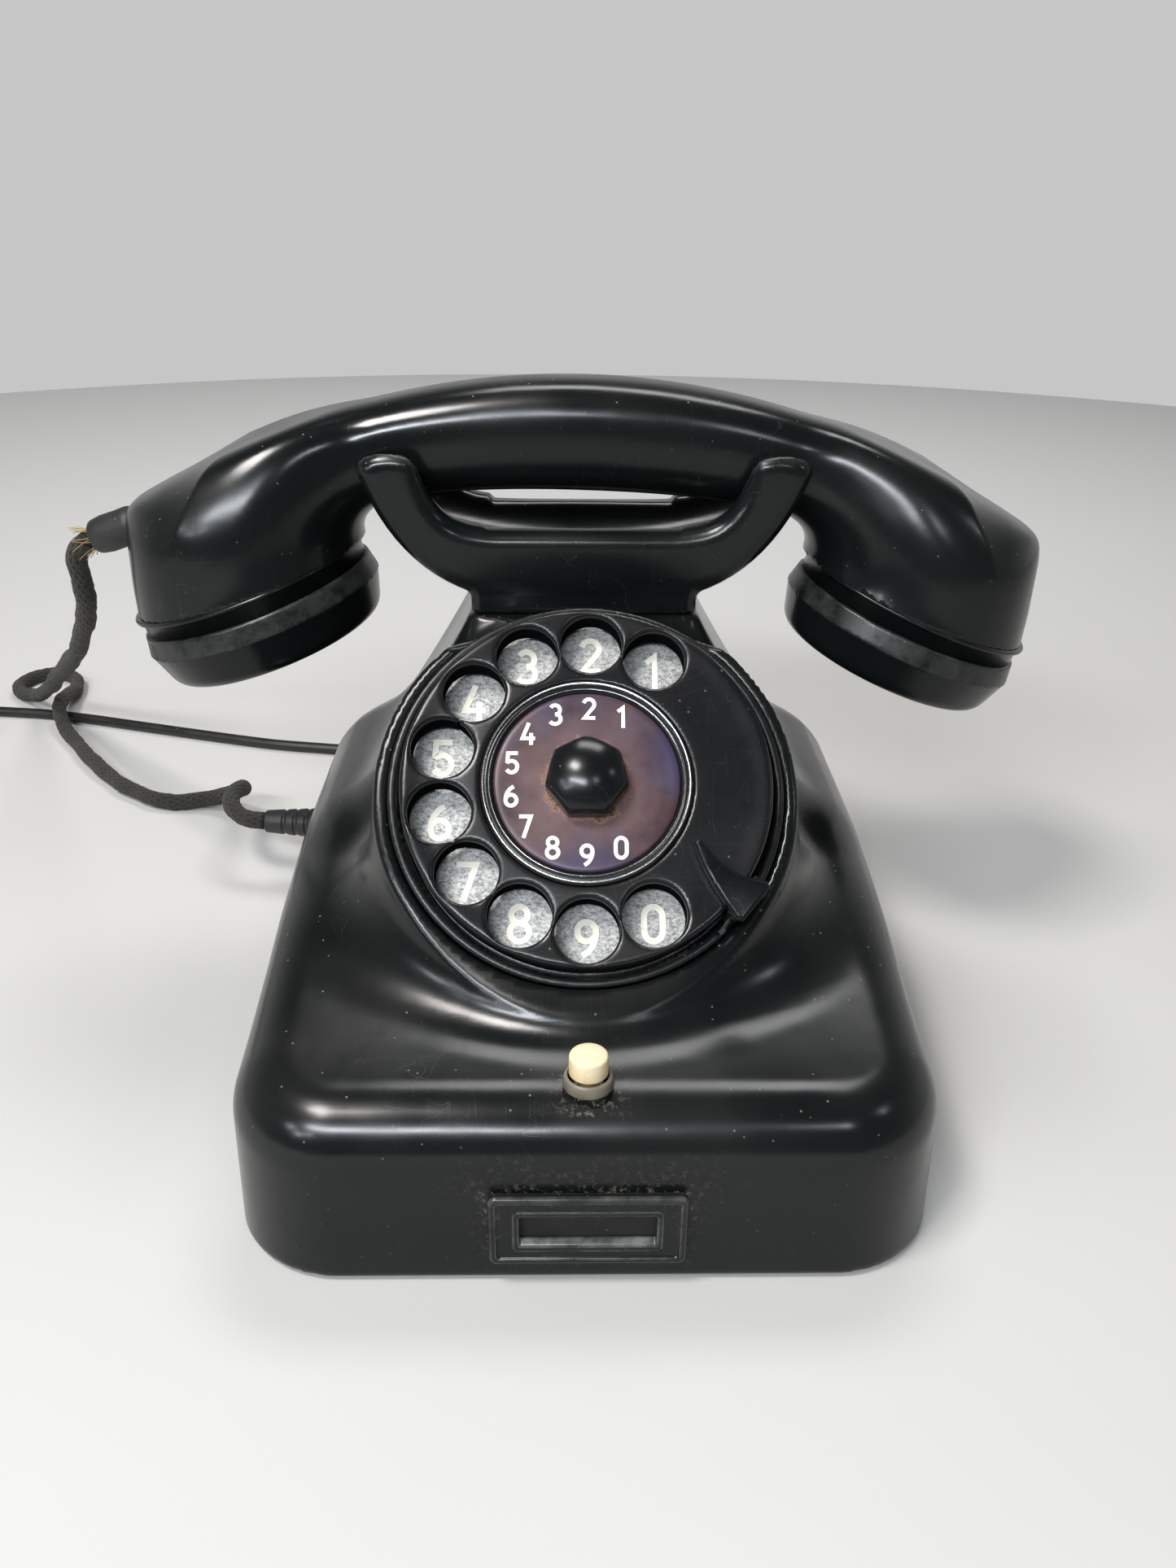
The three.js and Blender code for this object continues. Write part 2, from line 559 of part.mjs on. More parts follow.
// ---- handset ----
const handset = new THREE.Group();
handset.position.set(-2.4, NECK_Y, 0.8);
handset.rotation.set(0, HANDSET_LEAN, -HANDSET_TWIST);
telephone.add(handset);

// Middle height and half height of the handle at a distance from the middle.
function handleSection(x) {
  const t = Math.abs(x) / 85;
  const top = 160 - 18.3 * t * t;
  const bottom = 132 - 10.5 * t ** 2.2;
  return { middle: (top + bottom) / 2, half: (top - bottom) / 2 };
}

function makeHandle(stations = 11, around = 14, reachX = 78) {
  const positions = [];
  const index = [];
  for (let i = 0; i < stations; i++) {
    const x = -reachX + (2 * reachX * i) / (stations - 1);
    const { middle, half } = handleSection(x);
    for (let j = 0; j < around; j++) {
      const angle = (2 * Math.PI * j) / around;
      const c = Math.cos(angle);
      const s = Math.sin(angle);
      const square = 1 / (Math.abs(c) ** 2.6 + Math.abs(s) ** 2.6) ** (1 / 2.6);
      positions.push(x, (HANDLE_DEPTH / 2) * c * square, middle + half * s * square);
    }
  }
  for (let i = 0; i < stations - 1; i++) {
    for (let j = 0; j < around; j++) {
      const a = i * around + j;
      const b = i * around + ((j + 1) % around);
      index.push(a, b, b + around, a, b + around, a + around);
    }
  }
  const lastRing = (stations - 1) * around;
  for (let j = 1; j < around - 1; j++) {
    index.push(0, j + 1, j);
    index.push(lastRing, lastRing + j, lastRing + j + 1);
  }
  const geometry = new THREE.BufferGeometry();
  geometry.setAttribute('position', new THREE.BufferAttribute(new Float32Array(positions), 3));
  geometry.setIndex(index);
  return geometry;
}

// Places a solid whose +Z is a cap's axis, away from the face, at the left (-1) or right (+1) end.
function atHandsetEnd(geometry, side) {
  return geometry.rotateY(side * CAP_TILT).translate(side * HANDSET_CAP_X, 0, HANDSET_CAP_Z);
}

function makeHandsetShell() {
  const bells = [-1, 1].map((side) => {
    const bell = atHandsetEnd(disc(BELL_RADIUS, 0, 60, 26), side);
    const slope = new THREE.Shape();
    slope.moveTo(side * 30, 60);
    slope.lineTo(side * 118, 60);
    slope.lineTo(side * 117, 128.6);
    slope.lineTo(side * 85, 142.4);
    slope.quadraticCurveTo(side * 66, 146, side * 52, 124);
    return overlap(bell, plate(slope, -40, 40, 8).rotateX(Math.PI / 2));
  });
  const pockets = [-1, 1].map((side) => atHandsetEnd(disc(26.5, -4, 13, 20), side));
  const sleeveHole = aimed(disc(4.8, -14, 6, 12), SLEEVE_FOOT, SLEEVE_OUT);
  return cut(join(makeHandle(), ...bells), ...pockets, sleeveHole);
}

const SLEEVE_FOOT = [-117, 0, 118.4];
const SLEEVE_OUT = [-0.93, 0.08, -0.35];
const CAP_HEIGHT = 19.5;
function makeCap(holes) {
  const cap = turned([
    [BELL_RADIUS - 4, -1.2], [BELL_RADIUS - 1, -1.2], [BELL_RADIUS - 1, -4.2], [31.4, -4.4],
    [CAP_RADIUS, -9.5], [31.6, -11], [29.6, -16.6], [26.5, -CAP_HEIGHT], [8, -CAP_HEIGHT + 1.2],
    [0, -CAP_HEIGHT + 1.2], [0, -15.8], [25.6, -15.8], [27, -13.6], [BELL_RADIUS - 4, -1.2]], 28);
  const drills = holes.map(([x, y, r]) => disc(r, -CAP_HEIGHT - 4, -12, 5).translate(x, y, 0));
  return cut(cap, ...drills);
}

function holeRing(radius, count, holeRadius) {
  return Array.from({ length: count }, (_, i) => {
    const angle = (2 * Math.PI * i) / count;
    return [radius * Math.cos(angle), radius * Math.sin(angle), holeRadius];
  });
}

addPart('handset_shell', makeHandsetShell(), MATERIAL.bakelite, handset);
const mouthHoles = [[0, 0, 1.4], ...holeRing(11, 8, 1.4)];
const earHoles = [[0, 0, 1.6], ...holeRing(6, 5, 1.6)];
addPart('mouth_cap', atHandsetEnd(makeCap(mouthHoles), -1), MATERIAL.bakelite, handset);
addPart('ear_cap', atHandsetEnd(makeCap(earHoles), 1), MATERIAL.bakelite, handset);
addPart('mouth_capsule', atHandsetEnd(turned([
  [0, -14], [24, -14], [25.4, -12], [25.4, 2], [20, 9], [0, 9]], 18), -1),
  MATERIAL.aluminium, handset);
addPart('ear_capsule', atHandsetEnd(turned([
  [0, -14], [24, -14], [25.4, -12], [25.4, 0], [15, 3], [15, 10], [0, 10]], 18), 1),
  MATERIAL.aluminium, handset);
addPart('handset_sleeve', aimed(turned([
  [0, -11], [4.2, -11], [4.2, 4], [4.7, 8], [4.4, 12], [0, 12]], 14), SLEEVE_FOOT, SLEEVE_OUT),
  MATERIAL.rubber, handset);

// ---- ringer and the other pieces inside the housing ----
const FLOOR = FLOOR_HIGH + GAP;
const GONG_X = 30;
const GONG_Y = 52;
for (const [place, side] of [['left', -1], ['right', 1]]) {
  addPart(`gong_post_${place}`, turned([
    [0, FLOOR], [5, FLOOR], [5, FLOOR + 3], [3, FLOOR + 3], [3, 25], [2, 25], [2, 31], [0, 31]], 10)
    .translate(side * GONG_X, GONG_Y, 0), MATERIAL.steel);
  addPart(`gong_${place}`, turned([
    [2.4, 27], [14, 27], [21.5, 22], [24, 13], [22.6, 13],
    [20.4, 21], [13.4, 25.6], [2.4, 25.6], [2.4, 27]], 18)
    .translate(side * GONG_X, GONG_Y, 0), MATERIAL.steel);
  addPart(`ringer_coil_${place}`, ring(3.2, 9, 0, 30, 16)
    .rotateX(-Math.PI / 2).translate(side * 12, -14, 17), MATERIAL.winding);
  addPart(`ringer_core_${place}`, disc(2.8, -1, 34, 10)
    .rotateX(-Math.PI / 2).translate(side * 12, -14, 17), MATERIAL.steel);
}
const yoke = join(block(0, -19, FLOOR, 40, 5, 24), block(0, -12, FLOOR, 40, 14, 2));
addPart('ringer_yoke', yoke, MATERIAL.steel);
const CLAPPER_Y = 22.5;
addPart('clapper', join(
  block(0, CLAPPER_Y + 1.5, 12, 36, 2, 10),
  disc(1, 0, 28, 6).rotateX(-Math.PI / 2).translate(0, CLAPPER_Y + 1, 17),
  new THREE.SphereGeometry(4, 10, 7).translate(0, GONG_Y, 17)), MATERIAL.brass);
addPart('induction_coil', block(-46, -40, FLOOR, 26, 34, 24), MATERIAL.winding);
addPart('capacitor', block(46, -40, FLOOR, 22, 40, 20), MATERIAL.aluminium);
const terminalScrews = [-20, -10, 0, 10, 20].map((x) =>
  disc(2.2, FLOOR + 8, FLOOR + 10.5, 8).translate(x, -58, 0));
addPart('terminal_block', join(block(0, -58, FLOOR, 56, 18, 9), ...terminalScrews), MATERIAL.card);
addPart('hook_switch', join(block(0, 66, FLOOR, 14, 3, 60), block(0, 54, 63, 12, 26, 3)),
  MATERIAL.brass);

// ---- cords ----
// The points of each cord's middle line, from end to end.
const HANDSET_CORD_ROUTE = [
  [-129.2, 46.3, 117.5], [-133.8, 48.6, 113.4], [-136.4, 54.2, 104.4], [-139.3, 62.5, 94],
  [-146.8, 76, 82], [-157.2, 95, 68.5], [-170.6, 118, 55], [-184.5, 142, 41.5],
  [-197.5, 165, 28.5], [-209, 185.4, 17.5], [-216.8, 197.6, 10.8], [-224.5, 208, 5.6],
  [-232.5, 216, 3], [-238, 225, 3], [-234.5, 235, 3], [-225, 238.4, 3],
  [-216, 232, 3], [-212, 219, 3.3], [-210.6, 207, 5.9], [-209.4, 197.5, 7.7], [-206.8, 188, 5.8],
  [-202, 179, 3.4], [-195, 169, 3], [-182.6, 151.7, 3], [-170.1, 136.4, 3], [-158.6, 125.4, 3],
  [-147.3, 118.8, 3], [-137, 117.6, 3.2], [-127.8, 117.6, 4.6], [-120, 114.6, 8.4], [-115, 107.4, 13.6],
  [-113.4, 97.4, 18], [-113, 86.8, 20.3], [-109.8, 77.4, 20.6], [-104.6, 72.9, 20.2], [-99.3, 72, 20]];
const LINE_CORD_ROUTE = [
  [-30, 118.6, 12], [-30.5, 126, 10.8], [-33, 135, 7.6], [-38, 144, 4.2], [-46, 151.5, 2.4],
  [-58, 157, 2], [-75, 160.6, 2], [-96, 164.1, 2], [-117.7, 168, 2], [-144, 175.5, 2],
  [-170.7, 183.7, 2], [-198.4, 192.3, 2],
  [-214, 196.2, 2], [-228, 198.4, 2], [-241, 199.6, 2.1], [-251.7, 199.8, 2.3]];
const COIL_CENTRE = [-268, 170.5];
const COIL_MEAN_RADIUS = 23.5;
const COIL_HALF_WIDTH = 8;
const COIL_LOW = 1.2;
const COIL_HIGH = 9.4;
const COIL_TAIL_ROUTE = [
  [-297.3, 153.9, 5.4], [-297.3, 147, 3.4], [-295.4, 139, 2.3], [-290.5, 131.5, 2.4],
  [-283.5, 126.2, 4.2], [-275, 123.4, 7.4], [-266.5, 122.4, 9.2]];
const PLUG_REAR = [-265.6, 122.4, 9.4];

function strainRelief(length, rootRadius, tipRadius) {
  return turned([[0, -6], [rootRadius - 1.4, -6], [rootRadius - 1.4, 0.6], [rootRadius + 1, 0.6],
    [rootRadius + 1, 2.6], [rootRadius, 3.2], [tipRadius, length], [0, length]], 12);
}

addPart('handset_cord_boot',
  aimed(strainRelief(23.5, 5.2, 3.5), HANDSET_CORD_EXIT, HANDSET_CORD_OUT), MATERIAL.rubber);
addPart('line_cord_boot',
  aimed(strainRelief(25.6, 4.6, 2.6), LINE_CORD_EXIT, [0, 1, 0]), MATERIAL.rubber);
addPart('handset_cord', tube(HANDSET_CORD_ROUTE, HANDSET_CORD_RADIUS, 8, 50), MATERIAL.textile);
addPart('line_cord', tube(LINE_CORD_ROUTE, LINE_CORD_RADIUS, 8, 32), MATERIAL.rubber);

function coilSection(grow) {
  const inner = COIL_MEAN_RADIUS - COIL_HALF_WIDTH - grow;
  const outer = COIL_MEAN_RADIUS + COIL_HALF_WIDTH + grow;
  return [inner, outer, COIL_LOW - grow, COIL_HIGH + grow];
}
const [coilInner, coilOuter, coilLow, coilHigh] = coilSection(0);
addPart('line_cord_coil', turned([
  [coilInner, coilLow + 2], [coilInner + 2, coilLow], [coilOuter - 2, coilLow],
  [coilOuter, coilLow + 2], [coilOuter, coilHigh - 2], [coilOuter - 2, coilHigh],
  [coilInner + 2, coilHigh], [coilInner, coilHigh - 2], [coilInner, coilLow + 2]], 24).translate(...COIL_CENTRE, 0), MATERIAL.rubber);

function makeCoilTie() {
  const [tieInner, tieOuter, tieLow, tieHigh] = coilSection(1);
  const [holeInner, holeOuter, holeLow, holeHigh] = coilSection(GAP + 0.1);
  const middle = (tieInner + tieOuter) / 2;
  const band = block(middle, 0, tieLow, tieOuter - tieInner, 5, tieHigh - tieLow);
  const opening = block(middle, 0, holeLow, holeOuter - holeInner + 0.6, 9, holeHigh - holeLow);
  return cut(band, opening).translate(...COIL_CENTRE, 0);
}
addPart('coil_tie', makeCoilTie(), MATERIAL.textile);
addPart('line_cord_tail', tube(COIL_TAIL_ROUTE, LINE_CORD_RADIUS, 8, 12), MATERIAL.rubber);

function makePlug() {
  const body = turned([
    [0, 0], [3.2, 0], [4.2, 6], [8.4, 12], [9.2, 14], [9.2, 32], [8.4, 33], [0, 33]], 16);
  const blades = [[-4, 0], [4, 0], [0, 4], [0, -4]].map(([x, y]) => block(x, y, 32, 1.4, 3, 12));
  return aimed(join(body, ...blades), PLUG_REAR, [1, 0, 0]);
}
addPart('line_plug', makePlug(), MATERIAL.bakelite);

export default telephone;
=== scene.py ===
"""Black Bakelite desk telephone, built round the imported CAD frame.

Sizes in this script are millimetres in the CAD model's frame: +X to the user's right, +Y to the back, +Z up.
A mesh is scaled to metres when its piece is made.
"""
import functools
import json
import math

import bpy
import numpy as np
from mathutils import Matrix, Vector


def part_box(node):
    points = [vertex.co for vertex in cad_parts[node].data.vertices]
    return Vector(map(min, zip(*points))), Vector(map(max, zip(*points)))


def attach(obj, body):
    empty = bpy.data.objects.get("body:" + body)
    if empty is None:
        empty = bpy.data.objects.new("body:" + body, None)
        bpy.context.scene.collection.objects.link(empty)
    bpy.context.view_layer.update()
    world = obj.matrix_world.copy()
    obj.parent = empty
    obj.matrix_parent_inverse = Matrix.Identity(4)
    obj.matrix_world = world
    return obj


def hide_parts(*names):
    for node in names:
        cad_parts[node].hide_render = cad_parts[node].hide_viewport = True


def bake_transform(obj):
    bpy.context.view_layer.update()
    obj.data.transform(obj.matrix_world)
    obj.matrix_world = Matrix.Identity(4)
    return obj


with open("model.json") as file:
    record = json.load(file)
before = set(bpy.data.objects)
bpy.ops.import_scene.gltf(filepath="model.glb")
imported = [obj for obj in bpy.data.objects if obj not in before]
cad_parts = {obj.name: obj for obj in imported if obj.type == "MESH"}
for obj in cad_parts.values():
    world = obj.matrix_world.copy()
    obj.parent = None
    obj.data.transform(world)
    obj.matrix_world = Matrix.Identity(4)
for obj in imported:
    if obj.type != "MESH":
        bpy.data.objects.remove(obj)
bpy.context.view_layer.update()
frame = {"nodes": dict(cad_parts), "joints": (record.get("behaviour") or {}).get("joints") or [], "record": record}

MM = 0.001
scene = bpy.context.scene
random = np.random.default_rng(7)


# ---- sizes from the frame ----
def box_mm(node):
    low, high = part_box(node)
    return np.array(low) / MM, np.array(high) / MM


def joint(name):
    return next(j for j in frame["joints"] if j["name"] == name)


HOUSING_LOW, HOUSING_HIGH = box_mm("housing")
CRADLE_LOW, CRADLE_HIGH = box_mm("cradle")
WHEEL_LOW, WHEEL_HIGH = box_mm("finger_wheel")
DIAL_CENTRE = Vector(joint("dial_turn")["pos_m"]) / MM
DIAL_AXIS = Vector(joint("dial_turn")["axis"])
DIAL_TILT = math.atan2(-DIAL_AXIS.y, DIAL_AXIS.z)
WHEEL_RADIUS = (WHEEL_HIGH[0] - WHEEL_LOW[0]) / 2
NECK_Y = (CRADLE_LOW[1] + CRADLE_HIGH[1]) / 2
CRADLE_HALF_DEPTH = (CRADLE_HIGH[1] - CRADLE_LOW[1]) / 2

# ---- driving dimensions, as in the CAD model but for two that follow the photo ----
BASE_CORNER = 24
EDGE_ROUND = 13
FRONT_HEIGHT = 41.5
BACK_HEIGHT = 55
WALL = 3.4
NECK_HALF_WIDTH = 28.5
NECK_HALF_DEPTH = 21.5
NECK_TOP = 105.6
RIM_RADIUS = 44.5
RIM_TOP = -5.6
PLATE_TOP = -11
FACE_TOP = -8.6  # top of the plate's raised face under the digits; the CAD plate ends at PLATE_TOP
WHEEL_UNDERSIDE = -7.5  # 2.5 mm lower than the CAD wheel's
CUP_FLOOR = -13
DIAL_OPENING = 36
HOLE_CIRCLE = 33
HOLE_RADIUS = 7.05
FIRST_HOLE = 62
HOLE_PITCH = 26
CAP_X = 88
CAP_Z = 106
CAP_TILT = math.radians(20)
CAP_RADIUS = 32.2
BELL_RADIUS = 31
HANDSET_FOOT = (-2.4, NECK_Y, 0.8)
HANDSET_LEAN = math.radians(1.4)
HANDSET_TWIST = math.radians(0.8)

dial_place = Matrix.Translation(DIAL_CENTRE) @ Matrix.Rotation(DIAL_TILT, 4, "X")
handset_place = (Matrix.Translation(HANDSET_FOOT) @ Matrix.Rotation(HANDSET_LEAN, 4, "Y")
                 @ Matrix.Rotation(-HANDSET_TWIST, 4, "Z"))


def cap_place(side):
    """Where a cap or capsule sits: its +Z is the cap's axis, away from its face."""
    return (handset_place @ Matrix.Translation((side * CAP_X, 0, CAP_Z))
            @ Matrix.Rotation(side * CAP_TILT, 4, "Y"))


def aimed(foot, direction):
    """Where a piece built along +Z sits when its foot is at a point and it points along a direction."""
    return Matrix.Translation(foot) @ Vector(direction).to_track_quat("Z", "Y").to_matrix().to_4x4()


# ---- camera, at the photograph's viewing angle ----
def make_camera():
    data = bpy.data.cameras.new("camera")
    data.sensor_fit = "VERTICAL"
    data.sensor_height = 24
    data.lens = 19.2
    data.clip_start = 0.01
    camera = bpy.data.objects.new("camera", data)
    scene.collection.objects.link(camera)
    pitch, yaw, roll = math.radians(90 - 26.71), math.radians(-1.29), math.radians(0.67)
    turn = Matrix.Rotation(yaw, 4, "Z") @ Matrix.Rotation(pitch, 4, "X") @ Matrix.Rotation(roll, 4, "Z")
    camera.matrix_world = Matrix.Translation((-0.00524, -0.27794, 0.2093)) @ turn
    scene.camera = camera


make_camera()


# ---- materials ----
class Graph:
    """A material's node tree, with short calls for the nodes that this scene uses."""

    def __init__(self, name):
        self.material = bpy.data.materials.new(name)
        self.material.use_nodes = True
        self.tree = self.material.node_tree
        self.shader = self.tree.nodes["Principled BSDF"]
        self.object_place = self.node("ShaderNodeTexCoord").outputs["Object"]

    def node(self, kind, **settings):
        made = self.tree.nodes.new(kind)
        for key, value in settings.items():
            setattr(made, key, value)
        return made

    def put(self, socket, value):
        if isinstance(value, bpy.types.NodeSocket):
            self.tree.links.new(value, socket)
        else:
            socket.default_value = value

    def set(self, name, value):
        self.put(self.shader.inputs[name], value)

    def math(self, operation, a, b=0.0, clamp=False):
        made = self.node("ShaderNodeMath", operation=operation, use_clamp=clamp)
        self.put(made.inputs[0], a)
        self.put(made.inputs[1], b)
        return made.outputs[0]

    def times(self, a, b, clamp=False):
        return self.math("MULTIPLY", a, b, clamp)

    def plus(self, a, b, clamp=False):
        return self.math("ADD", a, b, clamp)

    def larger(self, a, b):
        return self.math("MAXIMUM", a, b)

    def span(self, value, low, high, start=0.0, end=1.0):
        made = self.node("ShaderNodeMapRange")
        for socket, content in zip(made.inputs, (value, low, high, start, end)):
            self.put(socket, content)
        return made.outputs[0]

    def mix(self, factor, a, b):
        made = self.node("ShaderNodeMix", data_type="RGBA")
        self.put(made.inputs["Factor"], factor)
        for socket, content in ((made.inputs[6], a), (made.inputs[7], b)):
            self.put(socket, content if isinstance(content, bpy.types.NodeSocket) else (*content, 1))
        return made.outputs[2]

    def stretched(self, scale, turn=(0, 0, 0), source=None):
        made = self.node("ShaderNodeMapping")
        self.put(made.inputs["Vector"], source or self.object_place)
        made.inputs["Rotation"].default_value = [math.radians(v) for v in turn]
        made.inputs["Scale"].default_value = scale
        return made.outputs[0]

    def noise(self, scale, detail=2.0, place=None, roughness=0.5):
        made = self.node("ShaderNodeTexNoise")
        self.put(made.inputs["Vector"], place or self.object_place)
        self.put(made.inputs["Scale"], scale)
        self.put(made.inputs["Detail"], detail)
        self.put(made.inputs["Roughness"], roughness)
        return made.outputs[0]

    def cells(self, scale, place=None):
        made = self.node("ShaderNodeTexVoronoi")
        self.put(made.inputs["Vector"], place or self.object_place)
        self.put(made.inputs["Scale"], scale)
        return made.outputs["Distance"], made.outputs["Color"]

    def attribute(self, name):
        return self.node("ShaderNodeAttribute", attribute_name=name).outputs["Fac"]

    def upward(self):
        split = self.node("ShaderNodeSeparateXYZ")
        self.put(split.inputs[0], self.node("ShaderNodeNewGeometry").outputs["Normal"])
        return self.span(split.outputs[2], -0.2, 0.9)

    def line(self, value, width):
        """One where a noise value passes its middle, so a thin wandering line."""
        away = self.math("ABSOLUTE", self.math("SUBTRACT", value, 0.5))
        return self.span(away, width * 0.4, width, 1.0, 0.0)

    def bump(self, height, strength, distance):
        made = self.node("ShaderNodeBump")
        self.put(made.inputs["Height"], height)
        made.inputs["Strength"].default_value = strength
        made.inputs["Distance"].default_value = distance
        self.set("Normal", made.outputs[0])

    def specks(self, scale, share, size):
        """Separate grains: a share of the cells holds one."""
        distance, colour = self.cells(scale)
        chosen = self.span(self.node_red(colour), 1 - share, 1 - share + 0.01)
        grain = self.span(distance, size * 0.6, size, 1.0, 0.0)
        return self.times(chosen, grain)

    def node_red(self, colour):
        split = self.node("ShaderNodeSeparateColor")
        self.put(split.inputs[0], colour)
        return split.outputs[0]


DUST_COLOUR = (0.30, 0.255, 0.19)
SCRATCH_GREY = (0.08, 0.08, 0.08)


def bakelite(name, dark=(0.0038, 0.0050, 0.0050), dust=1.0, gloss=(0.16, 0.29), worn=0.7, bare_and_highlight=0.050):
    """Polished phenolic moulding with settled dust, lint, hairline scratches and worn edges.

    The points carry how much dust and wear they have. On the label frame, the dial rim's top edge and the handset
    caps the wear mark also paints highlights and reflections in the bare colour. A third mark paints shade: it
    takes the shine off where a surface should read as black.
    """
    g = Graph(name)
    cloud = g.noise(28, 4)
    rub = g.noise(9, 3)
    sky = g.upward()
    fine = g.specks(520, 0.13, 0.15)
    coarse = g.times(g.specks(170, 0.04, 0.075), 0.35)
    lint_zone = g.span(g.noise(31, 1, g.stretched((1, 1, 1), (40, 10, 0))), 0.63, 0.69)
    lint = g.times(g.line(g.noise(120, 1), 0.0045), lint_zone)
    scratch_a = g.line(g.noise(30, 1, g.stretched((1, 7, 2), (0, 15, 35))), 0.0022)
    scratch_b = g.line(g.noise(34, 1, g.stretched((8, 1, 2), (20, 0, 15))), 0.0022)
    scratch_zone = g.span(g.noise(17, 2, g.stretched((1, 1, 1), (0, 60, 0))), 0.52, 0.62)
    scratch = g.times(g.larger(scratch_a, scratch_b), scratch_zone)
    grains = g.larger(g.larger(fine, coarse), g.times(lint, 0.1))
    grains = g.times(grains, g.times(sky, 0.5 * dust))
    flecks = g.span(g.noise(700, 4, roughness=0.75), 0.53, 0.66)
    settled = g.times(g.times(g.attribute("dust"), flecks), 0.75)
    film = g.times(g.span(cloud, 0.45, 0.75), g.times(sky, 0.018 * dust))
    cover = g.plus(g.larger(grains, settled), film, clamp=True)
    wear_and_highlight = g.times(g.attribute("wear_and_highlight"), g.span(g.noise(210, 4, roughness=0.65), 0.3, 0.7))
    body = g.mix(g.span(rub, 0.3, 0.7), dark, tuple(1.5 * c for c in dark))
    body = g.mix(g.times(scratch, 0.16), body, SCRATCH_GREY)
    # worn edges go to the bare colour; through the same mark the label frame, the rim edge and the handset caps
    # get painted highlights
    body = g.mix(g.times(wear_and_highlight, worn, clamp=True), body, (bare_and_highlight, bare_and_highlight, 0.98 * bare_and_highlight))
    g.set("Base Color", g.mix(cover, body, DUST_COLOUR))
    rough = g.span(cloud, 0.3, 0.75, *gloss)
    rough = g.plus(rough, g.times(wear_and_highlight, 0.25))
    rough = g.plus(rough, g.times(cover, 0.5), clamp=True)
    g.set("Roughness", rough)
    g.set("IOR", 1.45)
    # painted reflection: faces turned up are given more shine than faces turned down
    shine = g.span(sky, 0.1, 0.6, 0.3, 0.5)
    # where the shade mark is set the shine is taken off: painted shade
    g.set("Specular IOR Level", g.times(shine, g.math("SUBTRACT", 1.0, g.attribute("painted_shade"))))
    ripple = g.plus(g.noise(55, 2), g.times(scratch, -0.02))
    g.bump(ripple, 0.12, 0.0012)
    return g.material


def metal(name, colour, rough=(0.25, 0.45), tarnish=(0.1, 0.09, 0.08), tone_shift=0.3, brushed=(1, 12, 1)):
    g = Graph(name)
    patch = g.span(g.noise(60, 5, roughness=0.6), 0.5, 0.72, 0.0, tone_shift)
    grain = g.noise(380, 3, g.stretched(brushed, (0, 0, 25)))
    g.set("Base Color", g.mix(patch, g.mix(grain, colour, tuple(0.8 * c for c in colour)), tarnish))
    g.set("Metallic", 1.0)
    g.set("Roughness", g.span(grain, 0.3, 0.7, *rough))
    g.bump(grain, 0.2, 0.0001)
    return g.material


def plain(name, colour, dark, rough=(0.5, 0.75), grain=500, bump=0.25, dust=0.25):
    """Rubber, card and other matt stuff with mottling, dust and a fine grain."""
    g = Graph(name)
    mottle = g.span(g.noise(70, 4), 0.35, 0.7)
    cover = g.times(g.larger(g.specks(500, 0.12, 0.2), g.attribute("dust")), g.upward())
    body = g.mix(mottle, colour, dark)
    g.set("Base Color", g.mix(g.times(cover, dust, clamp=True), body, (0.4, 0.37, 0.32)))
    g.set("Roughness", g.span(g.noise(130, 3), 0.3, 0.7, *rough))
    g.bump(g.noise(grain, 3), bump, 0.0002)
    return g.material


def number_plate_metal(name):
    """Silvery plate, scuffed by years of fingertips."""
    g = Graph(name)
    scuff = g.noise(1000, 6, g.stretched((1, 1.8, 1), (0, 0, 20)), 0.85)
    nick = g.larger(g.line(g.noise(120, 1, g.stretched((1, 6, 1), (0, 0, 40))), 0.006),
                  g.line(g.noise(150, 1, g.stretched((5, 1, 1), (0, 0, 10))), 0.006))
    nick = g.times(nick, g.span(g.noise(90, 2), 0.45, 0.6))
    grey = g.mix(g.span(scuff, 0.4, 0.6), (0.60, 0.60, 0.58), (0.15, 0.15, 0.15))
    g.set("Base Color", g.mix(g.times(nick, 0.6), grey, (0.09, 0.09, 0.09)))
    g.set("Metallic", 0.3)
    g.set("Roughness", g.span(scuff, 0.3, 0.7, 0.42, 0.62))
    g.bump(scuff, 0.3, 0.00008)
    return g.material


def label_enamel(name):
    """Brown-purple enamel that is worn to orange-brown round the knob, with a pink sheen painted further out round
    it.
    """
    g = Graph(name)
    cloud = g.noise(85, 5, roughness=0.62)
    plum = g.mix(g.span(cloud, 0.35, 0.65), (0.036, 0.016, 0.022), (0.088, 0.046, 0.049))
    violet = g.mix(g.span(g.noise(45, 2), 0.42, 0.62), plum, (0.050, 0.038, 0.082))
    ring = g.attribute("knob_wear_and_sheen")
    ragged = g.plus(ring, g.span(g.noise(330, 5, roughness=0.7), 0.3, 0.7, -0.28, 0.28))
    # painted sheen: the enamel turns pink round the knob
    pink_sheen = g.mix(g.times(ring, 0.4, clamp=True), violet, (0.19, 0.108, 0.100))
    worn = g.mix(g.span(ragged, 1.02, 1.16, 0, 0.8), pink_sheen, (0.26, 0.13, 0.075))
    grime = g.span(ragged, 1.16, 1.26)
    g.set("Base Color", g.mix(grime, worn, (0.03, 0.018, 0.012)))
    g.set("Roughness", g.span(cloud, 0.3, 0.7, 0.3, 0.45))
    g.set("Metallic", 0.15)
    g.bump(g.noise(260, 4), 0.1, 0.0001)
    return g.material


